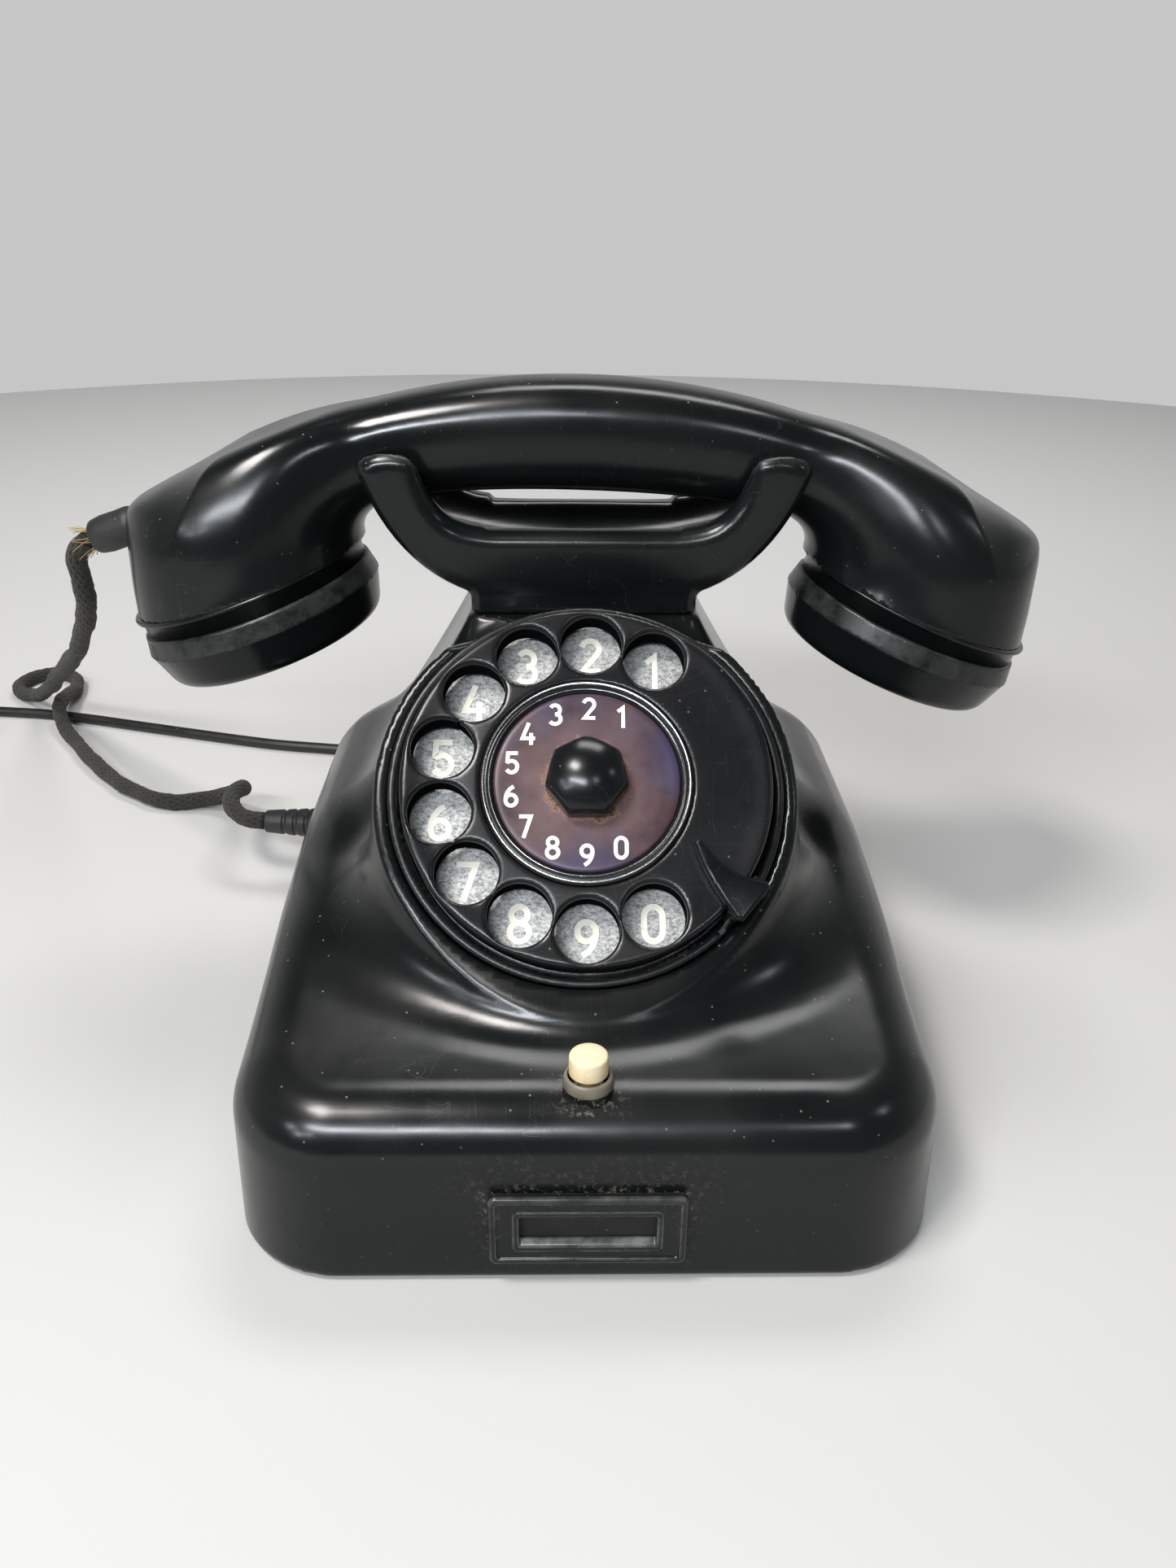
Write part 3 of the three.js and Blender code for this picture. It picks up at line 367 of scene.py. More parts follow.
def cream_plastic(name, light, yellow, low, high):
    """Aged cream plastic that turns darker and yellower towards its foot."""
    g = Graph(name)
    split = g.node("ShaderNodeSeparateXYZ")
    g.put(split.inputs[0], g.object_place)
    # darker and yellower towards the foot, with a ragged edge from noise
    depth = g.span(split.outputs[2], low * MM, high * MM, 1.0, 0.0)
    tone_shift = g.plus(depth, g.span(g.noise(260, 4), 0.3, 0.7, -0.25, 0.25), clamp=True)
    body = g.mix(tone_shift, light, yellow)
    g.set("Base Color", g.mix(g.times(g.specks(1300, 0.12, 0.2), 0.4), body, (0.20, 0.15, 0.09)))
    g.set("Roughness", g.span(g.noise(300, 3), 0.3, 0.7, 0.35, 0.55))
    g.set("Subsurface Weight", 0.12)
    g.set("Subsurface Radius", (0.004, 0.003, 0.001))
    g.bump(g.noise(700, 3), 0.15, 0.0001)
    return g.material


def braid(name, light, dark, turns=10.0, pitch=0.0042):
    """Braided textile over a cord: two sets of threads cross along the cord's own coordinates."""
    g = Graph(name)
    split = g.node("ShaderNodeSeparateXYZ")
    g.put(split.inputs[0], g.node("ShaderNodeUVMap", uv_map="along").outputs[0])
    around = g.times(split.outputs[0], turns * 2 * math.pi)
    along = g.times(split.outputs[1], 2 * math.pi / pitch)
    left = g.math("SINE", g.plus(along, around))
    right = g.math("SINE", g.math("SUBTRACT", along, around))
    threads = g.larger(left, right)
    fuzz = g.noise(1500, 4, roughness=0.7)
    height = g.plus(g.times(threads, 0.6), fuzz)
    tone = g.span(height, 0.1, 1.2)
    grubby = g.span(g.noise(45, 3), 0.4, 0.7)
    body = g.mix(tone, dark, light)
    body = g.mix(g.times(grubby, 0.5), body, dark)
    lint = g.times(g.specks(700, 0.08, 0.2), g.upward())
    g.set("Base Color", g.mix(g.times(lint, 0.5), body, (0.35, 0.32, 0.27)))
    g.set("Roughness", 0.9)
    g.set("Sheen Weight", 0.08)
    g.set("Sheen Roughness", 0.6)
    g.bump(height, 0.7, 0.0005)
    return g.material


BAKELITE = bakelite("bakelite")
DIAL_BAKELITE = bakelite("dial_bakelite", dark=(0.0048, 0.0052, 0.0060), dust=0.8, gloss=(0.20, 0.31),
                         worn=0.35)
# pale bare colour, for the label frame's worn edges and its painted highlights
TRIM_BAKELITE = bakelite("trim_bakelite", gloss=(0.12, 0.22), worn=0.9, bare_and_highlight=0.3)
PLATE_METAL = number_plate_metal("number_plate_metal")
ENAMEL = label_enamel("label_enamel")
CHROME = metal("ring_chrome", (0.82, 0.82, 0.83), (0.16, 0.26), tone_shift=0.12)
STEEL = metal("steel", (0.42, 0.43, 0.45))
BRASS = metal("brass", (0.62, 0.45, 0.19), (0.25, 0.4))
ALUMINIUM = metal("aluminium", (0.6, 0.6, 0.61), (0.3, 0.5))
RUBBER = plain("rubber", (0.012, 0.012, 0.012), (0.022, 0.021, 0.020), (0.42, 0.62))
PVC = plain("cord_sheath", (0.008, 0.008, 0.008), (0.014, 0.013, 0.012), (0.32, 0.5), bump=0.08)
WINDING = plain("winding", (0.24, 0.09, 0.035), (0.12, 0.045, 0.02), grain=260)
CARD = plain("card", (0.30, 0.22, 0.12), (0.18, 0.13, 0.07))
DARK_CARD = plain("dark_card", (0.004, 0.004, 0.004), (0.010, 0.009, 0.008), (0.7, 0.9), grain=900, dust=0.5)
BRAID = braid("cord_braid", (0.030, 0.025, 0.017), (0.006, 0.005, 0.0035))
SLOT_MATERIAL = {
    "bakelite": BAKELITE, "steel": STEEL, "brass": BRASS, "aluminium": ALUMINIUM, "rubber": RUBBER,
    "winding": WINDING, "card": CARD, "chrome": CHROME, "textile": BRAID, "label": ENAMEL,
}


# ---- meshes ----
def make_piece(name, points, faces, material, body, slot, replaced=(), place=None, marks=None):
    """A smooth mesh piece that rides on a body and stands for CAD nodes."""
    points = np.asarray(points, float)
    place = np.array(place if place is not None else Matrix.Identity(4))
    world = (points @ place[:3, :3].T + place[:3, 3]) * MM
    mesh = bpy.data.meshes.new(name)
    mesh.from_pydata(world.tolist(), [], [list(map(int, f)) for f in faces])
    for key, values in (marks or {}).items():
        layer = mesh.attributes.new(key, "FLOAT", "POINT")
        layer.data.foreach_set("value", np.asarray(values, np.float32))
    mesh.validate()
    mesh.shade_smooth()
    mesh.materials.append(material)
    piece = bpy.data.objects.new(name, mesh)
    scene.collection.objects.link(piece)
    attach(piece, body)
    if replaced:
        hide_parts(*replaced)
    return piece


def sharpen(piece, degrees=32):
    piece.data.set_sharp_from_angle(angle=math.radians(degrees))
    return piece


def rounded(profile):
    """The profile with each (r, z, radius) corner turned into a short arc."""
    points = [np.array(p[:2], float) for p in profile]
    out = []
    for i, corner in enumerate(points):
        radius = profile[i][2] if len(profile[i]) > 2 else 0
        if not radius or i in (0, len(points) - 1):
            out.append(corner)
            continue
        before, after = points[i - 1] - corner, points[i + 1] - corner
        start = corner + before / np.linalg.norm(before) * min(radius, np.linalg.norm(before) / 2)
        end = corner + after / np.linalg.norm(after) * min(radius, np.linalg.norm(after) / 2)
        for t in np.linspace(0, 1, 5):
            out.append((1 - t) ** 2 * start + 2 * t * (1 - t) * corner + t ** 2 * end)
    return out


def turned(profile, segments=96):
    """A turned solid; the profile runs from low to high with the outside on its right, and may be closed."""
    line = rounded(profile)
    angles = np.linspace(0, 2 * math.pi, segments, endpoint=False)
    closed = np.allclose(line[0], line[-1])
    if closed:
        line = line[:-1]
    points, rows = [], []
    for r, z in line:
        if r < 1e-6:
            rows.append([len(points)] * segments)
            points.append((0, 0, z))
        else:
            rows.append(list(range(len(points), len(points) + segments)))
            points.extend((r * math.cos(a), r * math.sin(a), z) for a in angles)
    faces = []
    pairs = list(zip(rows, rows[1:])) + ([(rows[-1], rows[0])] if closed else [])
    for low, high in pairs:
        for i in range(segments):
            j = (i + 1) % segments
            face = [low[i], low[j], high[j], high[i]]
            face = [v for k, v in enumerate(face) if v not in face[:k]]
            if len(face) > 2:
                faces.append(face)
    return points, faces


def turned_piece(name, profile, segments, *about, **more):
    points, faces = turned(profile, segments)
    return make_piece(name, points, faces, *about, **more)


def overlap(*distances):
    """Signed distance to what several solids have in common."""
    return functools.reduce(np.maximum, distances)


def smooth_min(a, b, k):
    h = np.maximum(k - np.abs(a - b), 0) / k
    return np.minimum(a, b) - h * h * k / 4


def smooth_max(a, b, k):
    return -smooth_min(-a, -b, k)


def smooth_step(low, high, v):
    t = np.clip((v - low) / (high - low), 0, 1)
    return t * t * (3 - 2 * t)


def rectangle(x, y, half_width, half_depth, radius):
    dx = np.abs(x) - half_width + radius
    dy = np.abs(y) - half_depth + radius
    return np.hypot(np.maximum(dx, 0), np.maximum(dy, 0)) + np.minimum(np.maximum(dx, dy), 0) - radius


def rounded_edge(side, top, radius):
    a, b = side + radius, top + radius
    return np.hypot(np.maximum(a, 0), np.maximum(b, 0)) + np.minimum(np.maximum(a, b), 0) - radius


def outline_distance(x, z, outline):
    """Signed distance to a closed outline, negative inside."""
    best = None
    inside = None
    for (ax, az), (bx, bz) in zip(outline, np.roll(outline, -1, axis=0)):
        ex, ez = bx - ax, bz - az
        t = np.clip(((x - ax) * ex + (z - az) * ez) / (ex * ex + ez * ez + 1e-12), 0, 1)
        gap = (x - ax - t * ex) ** 2 + (z - az - t * ez) ** 2
        best = gap if best is None else np.minimum(best, gap)
        crosses = ((az > z) != (bz > z)) & (x < ex * (z - az) / (ez if ez else 1e-12) + ax)
        inside = crosses if inside is None else inside ^ crosses
    return np.where(inside, -1, 1) * np.sqrt(best)


def bezier(*controls, steps=10):
    """Points on a quadratic or cubic curve, without its first one."""
    t = np.linspace(0, 1, steps + 1)[1:, None]
    points = [np.array(c, float) for c in controls]
    if len(points) == 3:
        a, b, c = points
        return (1 - t) ** 2 * a + 2 * t * (1 - t) * b + t ** 2 * c
    a, b, c, d = points
    return (1 - t) ** 3 * a + 3 * t * (1 - t) ** 2 * b + 3 * t ** 2 * (1 - t) * c + t ** 3 * d


def gradient(distance, points, e):
    steps = np.eye(3) * e
    ends = [(points + s, points - s) for s in steps]
    return np.stack([(distance(*a.T) - distance(*b.T)) / (2 * e) for a, b in ends], axis=1)


def surface_net(distance, low, high, step, rounds=3):
    """A closed quad mesh where distance(x, y, z) is zero, and how convex the surface is at each point."""
    low = np.array(low, float) - 1.6 * step
    counts = np.ceil((np.array(high, float) + 1.6 * step - low) / step).astype(int) + 1
    axes = [low[i] + step * np.arange(counts[i]) for i in range(3)]
    grid = np.meshgrid(*axes, indexing="ij", sparse=True)
    value = np.broadcast_to(distance(*grid), counts).astype(np.float32)
    inside = value < 0
    corners = [(i, j, k) for i in (0, 1) for j in (0, 1) for k in (0, 1)]
    window = [inside[i:counts[0] - 1 + i, j:counts[1] - 1 + j, k:counts[2] - 1 + k] for i, j, k in corners]
    mixed = np.any(window, axis=0) & ~np.all(window, axis=0)
    cells = np.argwhere(mixed)
    number = np.full(mixed.shape, -1)
    number[mixed] = np.arange(len(cells))
    total = np.zeros((len(cells), 3))
    crossings = np.zeros(len(cells))
    for a in corners:
        for axis in range(3):
            if a[axis]:
                continue
            b = list(a)
            b[axis] = 1
            va = value[tuple((cells + a).T)]
            vb = value[tuple((cells + b).T)]
            hit = (va < 0) != (vb < 0)
            t = np.where(hit, va / np.where(hit, va - vb, 1), 0)
            place = np.array(a) + np.eye(3)[axis] * t[:, None]
            total += place * hit[:, None]
            crossings += hit
    points = low + (cells + total / crossings[:, None]) * step
    faces = []
    for a, b, c in ((0, 1, 2), (1, 2, 0), (2, 0, 1)):
        first = np.take(inside, range(counts[a] - 1), axis=a)
        second = np.take(inside, range(1, counts[a]), axis=a)
        edges = np.argwhere(first != second)
        outward = first[tuple(edges.T)]
        quad = []
        for sb, sc in ((1, 1), (0, 1), (0, 0), (1, 0)):
            cell = edges.copy()
            cell[:, b] -= sb
            cell[:, c] -= sc
            quad.append(number[tuple(cell.T)])
        quad = np.stack(quad, axis=1)
        quad[~outward] = quad[~outward][:, ::-1]
        faces.append(quad)
    for _ in range(rounds):
        slope = gradient(distance, points, 0.2 * step)
        size = np.maximum((slope ** 2).sum(axis=1), 0.05)
        move = np.clip(distance(*points.T) / size, -step, step)
        points = points - slope * move[:, None]
    reach = 1.2 * step
    around = sum(distance(*(points + s).T) for s in np.concatenate([np.eye(3), -np.eye(3)]) * reach)
    convex = (around - 6 * distance(*points.T)) / reach ** 2
    return points, np.concatenate(faces), convex


def wear_from(convex, low=0.5, high=1.6):
    return np.clip((convex - low) / (high - low), 0, 1)


# ---- cords: the routes repeat the CAD model's points ----
HANDSET_CORD_ROUTE = [
    (-129.2, 46.3, 117.5), (-133.8, 48.6, 113.4), (-136.4, 54.2, 104.4), (-139.3, 62.5, 94), (-146.8, 76, 82),
    (-157.2, 95, 68.5), (-170.6, 118, 55), (-184.5, 142, 41.5), (-197.5, 165, 28.5), (-209, 185.4, 17.5),
    (-216.8, 197.6, 10.8), (-224.5, 208, 5.6), (-232.5, 216, 3), (-238, 225, 3), (-234.5, 235, 3),
    (-225, 238.4, 3), (-216, 232, 3), (-212, 219, 3.3), (-210.6, 207, 5.9), (-209.4, 197.5, 7.7),
    (-206.8, 188, 5.8), (-202, 179, 3.4), (-195, 169, 3), (-182.6, 151.7, 3), (-170.1, 136.4, 3),
    (-158.6, 125.4, 3), (-147.3, 118.8, 3), (-137, 117.6, 3.2), (-127.8, 117.6, 4.6), (-120, 114.6, 8.4),
    (-115, 107.4, 13.6), (-113.4, 97.4, 18), (-113, 86.8, 20.3), (-109.8, 77.4, 20.6), (-104.6, 72.9, 20.2),
    (-99.3, 72, 20)]
LINE_CORD_ROUTE = [
    (-30, 118.6, 12), (-30.5, 126, 10.8), (-33, 135, 7.6), (-38, 144, 4.2), (-46, 151.5, 2.4), (-58, 157, 2),
    (-75, 160.6, 2), (-96, 164.1, 2), (-117.7, 168, 2), (-144, 175.5, 2), (-170.7, 183.7, 2),
    (-198.4, 192.3, 2), (-214, 196.2, 2), (-228, 198.4, 2), (-241, 199.6, 2.1), (-251.7, 199.8, 2.3)]
COIL_TAIL_ROUTE = [
    (-297.3, 153.9, 5.4), (-297.3, 147, 3.4), (-295.4, 139, 2.3), (-290.5, 131.5, 2.4), (-283.5, 126.2, 4.2),
    (-275, 123.4, 7.4), (-266.5, 122.4, 9.2)]
COIL_CENTRE = (-268, 170.5)
PLUG_REAR = (-265.6, 122.4, 9.4)
BLADE_MIDDLE = 37.5
BLADE_HALF_LENGTH = 6.5
HANDSET_CORD_EXIT = (-75.1, 70, 20)
HANDSET_CORD_OUT = (-1, 0.08, 0)
LINE_CORD_EXIT = (-30, HOUSING_HIGH[1], 12)
SLEEVE_FOOT = (-117, 0, 118.4)
SLEEVE_OUT = (-0.93, 0.08, -0.35)
HANDSET_CORD_RADIUS = 2.9
LINE_CORD_RADIUS = 2
BRAID_LUMPS = 0.15  # the mean radius is this much smaller, as the braid's lumps stand out from it
LOWEST_CORD_POINT = 0.1


def curve_through(route, spacing=1.0):
    """Evenly spaced points on a smooth curve through the route."""
    p = np.array(route, float)
    p = np.vstack([2 * p[0] - p[1], p, 2 * p[-1] - p[-2]])
    knots = np.concatenate([[0], np.cumsum(np.sqrt(np.linalg.norm(np.diff(p, axis=0), axis=1)))])
    out = []
    for i in range(1, len(p) - 2):
        t0, t1, t2, t3 = knots[i - 1:i + 3]
        t = np.linspace(t1, t2, 14, endpoint=False)[:, None]
        a1 = (t1 - t) / (t1 - t0) * p[i - 1] + (t - t0) / (t1 - t0) * p[i]
        a2 = (t2 - t) / (t2 - t1) * p[i] + (t - t1) / (t2 - t1) * p[i + 1]
        a3 = (t3 - t) / (t3 - t2) * p[i + 1] + (t - t2) / (t3 - t2) * p[i + 2]
        b1 = (t2 - t) / (t2 - t0) * a1 + (t - t0) / (t2 - t0) * a2
        b2 = (t3 - t) / (t3 - t1) * a2 + (t - t1) / (t3 - t1) * a3
        out.append((t2 - t) / (t2 - t1) * b1 + (t - t1) / (t2 - t1) * b2)
    out = np.vstack(out + [p[-2:-1]])
    run = np.concatenate([[0], np.cumsum(np.linalg.norm(np.diff(out, axis=0), axis=1))])
    even = np.linspace(0, run[-1], int(run[-1] / spacing) + 1)
    return np.stack([np.interp(even, run, out[:, k]) for k in range(3)], axis=1)


def coil_path():
    """Two flat layers of three turns: inwards along the table, then outwards on top."""
    turns, points_per_turn, pitch = 3, 40, 4.1
    outer, layer_low, layer_high = 29.3, 2.3, 6.4
    steps = turns * points_per_turn
    points = []
    for layer in range(2):
        for i in range(steps):
            turn = i / points_per_turn
            inward = min(turn, turns - 0.5) / (turns - 0.5)
            share = inward if layer == 0 else 1 - max(0, (turn - 0.5)) / (turns - 0.5)
            radius = outer - pitch * (turns - 0.5) * share
            lift = smooth_step(0, 0.5, turn) if layer == 1 else 0.0
            height = layer_low + (layer_high - layer_low) * lift
            angle = math.pi / 2 + 2 * math.pi * turn
            if layer == 1 and turn > turns - 0.74:
                break
            x = COIL_CENTRE[0] + radius * math.cos(angle)
            y = COIL_CENTRE[1] + radius * math.sin(angle)
            points.append((x, y, height))
    return points


def tube(path, radius, sides=14, wobble=0.0, lumps=0.0, seed=1):
    """A closed round tube along a path, with its own around/along coordinates at each corner."""
    draw = np.random.default_rng(seed)
    path = np.array(path)
    count = len(path)
    soft = np.ones(9) / 9
    drift = np.stack([np.convolve(draw.normal(size=count + 8), soft, "valid") for _ in range(3)], axis=1)
    ends = np.clip(np.minimum(np.arange(count), np.arange(count)[::-1]) / 12, 0, 1)[:, None]
    path = path + drift * wobble * ends
    swell = 1 + lumps * np.convolve(draw.normal(size=count + 8), soft, "valid") * ends[:, 0]
    tangent = np.gradient(path, axis=0)
    tangent /= np.linalg.norm(tangent, axis=1)[:, None]
    side = np.cross(tangent[0], (0.1, 0.2, 1))
    points, sides_of = [], np.linspace(0, 2 * math.pi, sides, endpoint=False)
    for i in range(count):
        side = side - tangent[i] * np.dot(side, tangent[i])
        side /= np.linalg.norm(side)
        other = np.cross(tangent[i], side)
        ring = np.cos(sides_of)[:, None] * side + np.sin(sides_of)[:, None] * other
        points.extend(path[i] + radius * swell[i] * ring)
    run = np.concatenate([[0], np.cumsum(np.linalg.norm(np.diff(path, axis=0), axis=1))])
    faces, corners = [], []
    for i in range(count - 1):
        for j in range(sides):
            k = (j + 1) % sides
            faces.append((i * sides + j, i * sides + k, (i + 1) * sides + k, (i + 1) * sides + j))
            corners += [(j / sides, run[i]), ((j + 1) / sides, run[i]),
                        ((j + 1) / sides, run[i + 1]), (j / sides, run[i + 1])]
    for start, order in ((0, -1), ((count - 1) * sides, 1)):
        faces.append([start + j for j in range(sides)][::order])
        corners += [(0.5, run[0 if order < 0 else -1])] * sides
    return points, faces, np.array(corners)


def make_cord(name, path, radius, material, slot, replaced, **shape):
    points, faces, corners = tube(path, radius, **shape)
    points = np.array(points)
    points[:, 2] = np.maximum(points[:, 2], LOWEST_CORD_POINT)
    piece = make_piece(name, points, faces, material, "base", slot, replaced)
    layer = piece.data.uv_layers.new(name="along")
    layer.data.foreach_set("uv", (corners * (1, MM)).astype(np.float32).ravel())
    return piece


def blade_shape(blade_x, blade_y):
    def blade_distance(x, y, z):
        side = rectangle(x - blade_x, y - blade_y, 0.7, 1.5, 0.25)
        return rounded_edge(side, np.abs(z - BLADE_MIDDLE) - BLADE_HALF_LENGTH, 0.4)
    return blade_distance


def make_plug():
    profile = [(0, 0), (3.2, 0, 0.6), (4.2, 6, 2), (8.4, 12, 2.5), (9.2, 14, 1), (9.2, 32, 0.8),
               (8.2, 33, 0.8), (0, 33)]
    place = aimed(PLUG_REAR, (1, 0, 0))
    body = turned_piece("plug_body", profile, 64, BAKELITE, "base", "bakelite", ["line_plug"], place)
    for number, (x, y) in enumerate([(-4, 0), (4, 0), (0, 4), (0, -4)]):
        low, high = (x - 1, y - 2, 30), (x + 1, y + 2, 45)
        points, faces, _ = surface_net(blade_shape(x, y), low, high, 0.5)
        blade = make_piece(f"plug_blade_{number + 1}", points, faces, BRASS, "base", "brass", place=place)
        blade.parent = body
    return body


def make_strain_relief(name, length, root, tip, exit_point, out, node):
    """A tapered rubber sleeve with a collar at the housing and shallow grooves."""
    profile = [(0, -5), (root - 1.5, -5), (root - 1.5, 0.3), (root + 1, 0.5, 0.4), (root + 1, 2.6, 0.7),
               (root, 3.6, 0.5)]
    grooves = 4
    for i in range(grooves):
        z = 5.5 + i * (length - 9) / grooves
        r = root + (tip - root) * z / length
        profile += [(r, z, 0.2), (r - 0.35, z + 0.5, 0.2), (r - 0.4, z + 1.1, 0.2), (r - 0.05, z + 1.6, 0.2)]
    profile += [(tip, length, 0.5), (0, length)]
    return turned_piece(name, profile, 48, RUBBER, "base", "rubber", [node], aimed(exit_point, out))


def make_cords(sleeve):
    handset_path = curve_through(HANDSET_CORD_ROUTE)
    handset_cord = make_cord("cord_to_handset", handset_path, HANDSET_CORD_RADIUS - BRAID_LUMPS, BRAID,
                             "textile", ["handset_cord"], wobble=0.55, lumps=0.10, seed=3)
    boot = make_strain_relief("handset_cord_relief", 23.5, 5.2, 3.5, HANDSET_CORD_EXIT, HANDSET_CORD_OUT,
                              "handset_cord_boot")
    handset_cord.parent = None
    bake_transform(handset_cord)
    line_path = curve_through(LINE_CORD_ROUTE + coil_path() + COIL_TAIL_ROUTE)
    line_cord = make_cord("line_cord_with_coil", line_path, LINE_CORD_RADIUS, PVC, "rubber",
                          ["line_cord", "line_cord_coil", "line_cord_tail"], sides=12)
    line_boot = make_strain_relief("line_cord_relief", 25.6, 4.6, 2.6, LINE_CORD_EXIT, (0, 1, 0),
                                   "line_cord_boot")
    make_plug()


# ---- housing ----
COLLAR_TOP = -7.6
COLLAR_RADIUS = RIM_RADIUS + 2
COLLAR_FLARE = 0.22
SEAT_RADIUS = 45.5
THROAT_DEPTH = 40
WALL_DRAFT = 0.02
HOUSING_STEP = 1.15
LABEL_Z = 15.4
LABEL_HALF = (20, 8.8)
LABEL_CORNER = 1.6
WINDOW_HALF = (13.9, 4.0)
BUTTON_Y = -80
BUTTON_BASE = FRONT_HEIGHT + 0.8
base_middle_y = (HOUSING_LOW[1] + HOUSING_HIGH[1]) / 2
base_half_depth = (HOUSING_HIGH[1] - HOUSING_LOW[1]) / 2
base_half_width = (HOUSING_HIGH[0] - HOUSING_LOW[0]) / 2
dial_normal = (math.sin(DIAL_TILT), math.cos(DIAL_TILT))
collar_y = DIAL_CENTRE.y - COLLAR_TOP * dial_normal[0]
collar_z = DIAL_CENTRE.z + COLLAR_TOP * dial_normal[1]


def wall_distance(x, y, z):
    draft = WALL_DRAFT * z
    return rectangle(x, y - base_middle_y, base_half_width - draft, base_half_depth - draft, BASE_CORNER)


def skirt_distance(x, y, z):
    rise = (BACK_HEIGHT - FRONT_HEIGHT) * smooth_step(-85, 25, y)
    return rounded_edge(wall_distance(x, y, z), z - FRONT_HEIGHT - rise, EDGE_ROUND)


def collar_distance(x, y, z):
    """The body under the dial: a drum square to the dial, on a column that widens downwards."""
    above = -(y - collar_y) * dial_normal[0] + (z - collar_z) * dial_normal[1]
    rim_height = collar_z + (y - collar_y) * dial_normal[0] / dial_normal[1]
    spread = COLLAR_FLARE * np.maximum(rim_height - z, 0)
    ax = COLLAR_RADIUS + spread
    ay = COLLAR_RADIUS * math.cos(DIAL_TILT) + spread
    column = (np.hypot(x / ax, (y - collar_y) / ay) - 1) * np.minimum(ax, ay)
    up_slope = (y - collar_y) * math.cos(DIAL_TILT) + (z - collar_z) * math.sin(DIAL_TILT)
    drum = np.hypot(x, up_slope) - COLLAR_RADIUS
    return smooth_max(smooth_min(column, drum, 5), above, 1.0)


def neck_distance(x, y, z):
    drop = np.clip((NECK_TOP - z) / (NECK_TOP - BACK_HEIGHT), 0, 1) ** 1.1
    side = rectangle(x, y - NECK_Y, NECK_HALF_WIDTH + 30 * drop, NECK_HALF_DEPTH + 20 * drop, 2.5 + 14 * drop)
    return smooth_max(side, z - NECK_TOP, 1.4)


def housing_skin(x, y, z):
    body = smooth_min(skirt_distance(x, y, z), collar_distance(x, y, z), 16)
    whole = smooth_min(body, neck_distance(x, y, z), 18)
    return overlap(whole, wall_distance(x, y, z), z - NECK_TOP)


def housing_distance(x, y, z):
    skin = housing_skin(x, y, z)
    along = -(y - DIAL_CENTRE.y) * dial_normal[0] + (z - DIAL_CENTRE.z) * dial_normal[1]
    up_slope = (y - DIAL_CENTRE.y) * dial_normal[1] + (z - DIAL_CENTRE.z) * dial_normal[0]
    radius = np.hypot(x, up_slope)
    shell = smooth_max(skin, -(skin + WALL), 0.8)
    seat_ring = overlap(DIAL_OPENING - radius, radius - SEAT_RADIUS, CUP_FLOOR - 3 - along,
                        along - COLLAR_TOP)
    shell = np.minimum(shell, seat_ring)
    seat = np.maximum(radius - RIM_RADIUS - 0.3, CUP_FLOOR - along)
    throat = np.maximum(radius - DIAL_OPENING, -THROAT_DEPTH - along)
    socket = np.maximum(rectangle(x, y - NECK_Y, 25.5, 17.5, 2), NECK_TOP - 24 - z)
    shell = smooth_max(shell, -seat, 0.9)
    shell = smooth_max(shell, -throat, 0.6)
    shell = smooth_max(shell, -socket, 0.8)
    shell = smooth_max(shell, -housing_window(x, y, z), 0.5)
    return smooth_max(shell, HOUSING_LOW[2] - z, 1.2)


def housing_window(x, y, z):
    return np.maximum(rectangle(x, z - LABEL_Z + 1.4, 15.5, 5.4, 1), np.abs(y - HOUSING_LOW[1]) - 1.6)


def front_dust(points):
    """Dust that has gathered round the label frame and the earth button."""
    x, y, z = points.T
    frame_gap = rectangle(x, z - LABEL_Z, *LABEL_HALF, LABEL_CORNER)
    on_front = (y < HOUSING_LOW[1] + 1.5) & (z < 36)
    above = np.where(z > LABEL_Z, 1.0, 0.55)
    frame_dust = np.where(on_front, np.exp(-np.maximum(frame_gap, 0) / 1.5) * above * 0.7, 0)
    ledge = np.where(on_front & (z > LABEL_Z + 8), np.exp(-np.maximum(frame_gap, 0) / 5) * 0.27, 0)
    button_gap = np.hypot(x, y - BUTTON_Y) - 6
    button_dust = np.where(z > FRONT_HEIGHT - 3, np.exp(-np.maximum(button_gap, 0) / 1.6) * 0.45, 0)
    return np.maximum(np.maximum(frame_dust, ledge), button_dust)


def make_housing():
    points, faces, convex = surface_net(housing_distance, HOUSING_LOW, HOUSING_HIGH, HOUSING_STEP)
    marks = {"dust": front_dust(points), "wear_and_highlight": wear_from(convex, 0.8, 2.5)}
    make_piece("housing_shell", points, faces, BAKELITE, "base", "bakelite", ["housing"], marks=marks)


def label_frame_distance(x, y, z):
    """A raised frame round a window whose lower edge is a sloping ledge; y is its height off the housing."""
    outer = rectangle(x, z, *LABEL_HALF, LABEL_CORNER)
    window = rectangle(x, z + 0.2, *WINDOW_HALF, 0.5)
    border = smooth_max(rounded_edge(outer, y - 1.9, 0.6), -(outer + 1.5), 0.4)
    field = np.maximum(outer, y - 1.3)
    lip = np.maximum(rectangle(x, z + 0.2, 15.2, 5.3, 0.8), y - 1.65)
    solid = smooth_min(smooth_min(border, field, 0.5), lip, 0.3)
    slope = (WINDOW_HALF[1] + 0.2 + z) * 0.75 - (1.7 - y) * 0.66
    cutter = np.maximum(window, -slope)
    return np.maximum(smooth_max(solid, -cutter, 0.35), -y - 0.05)


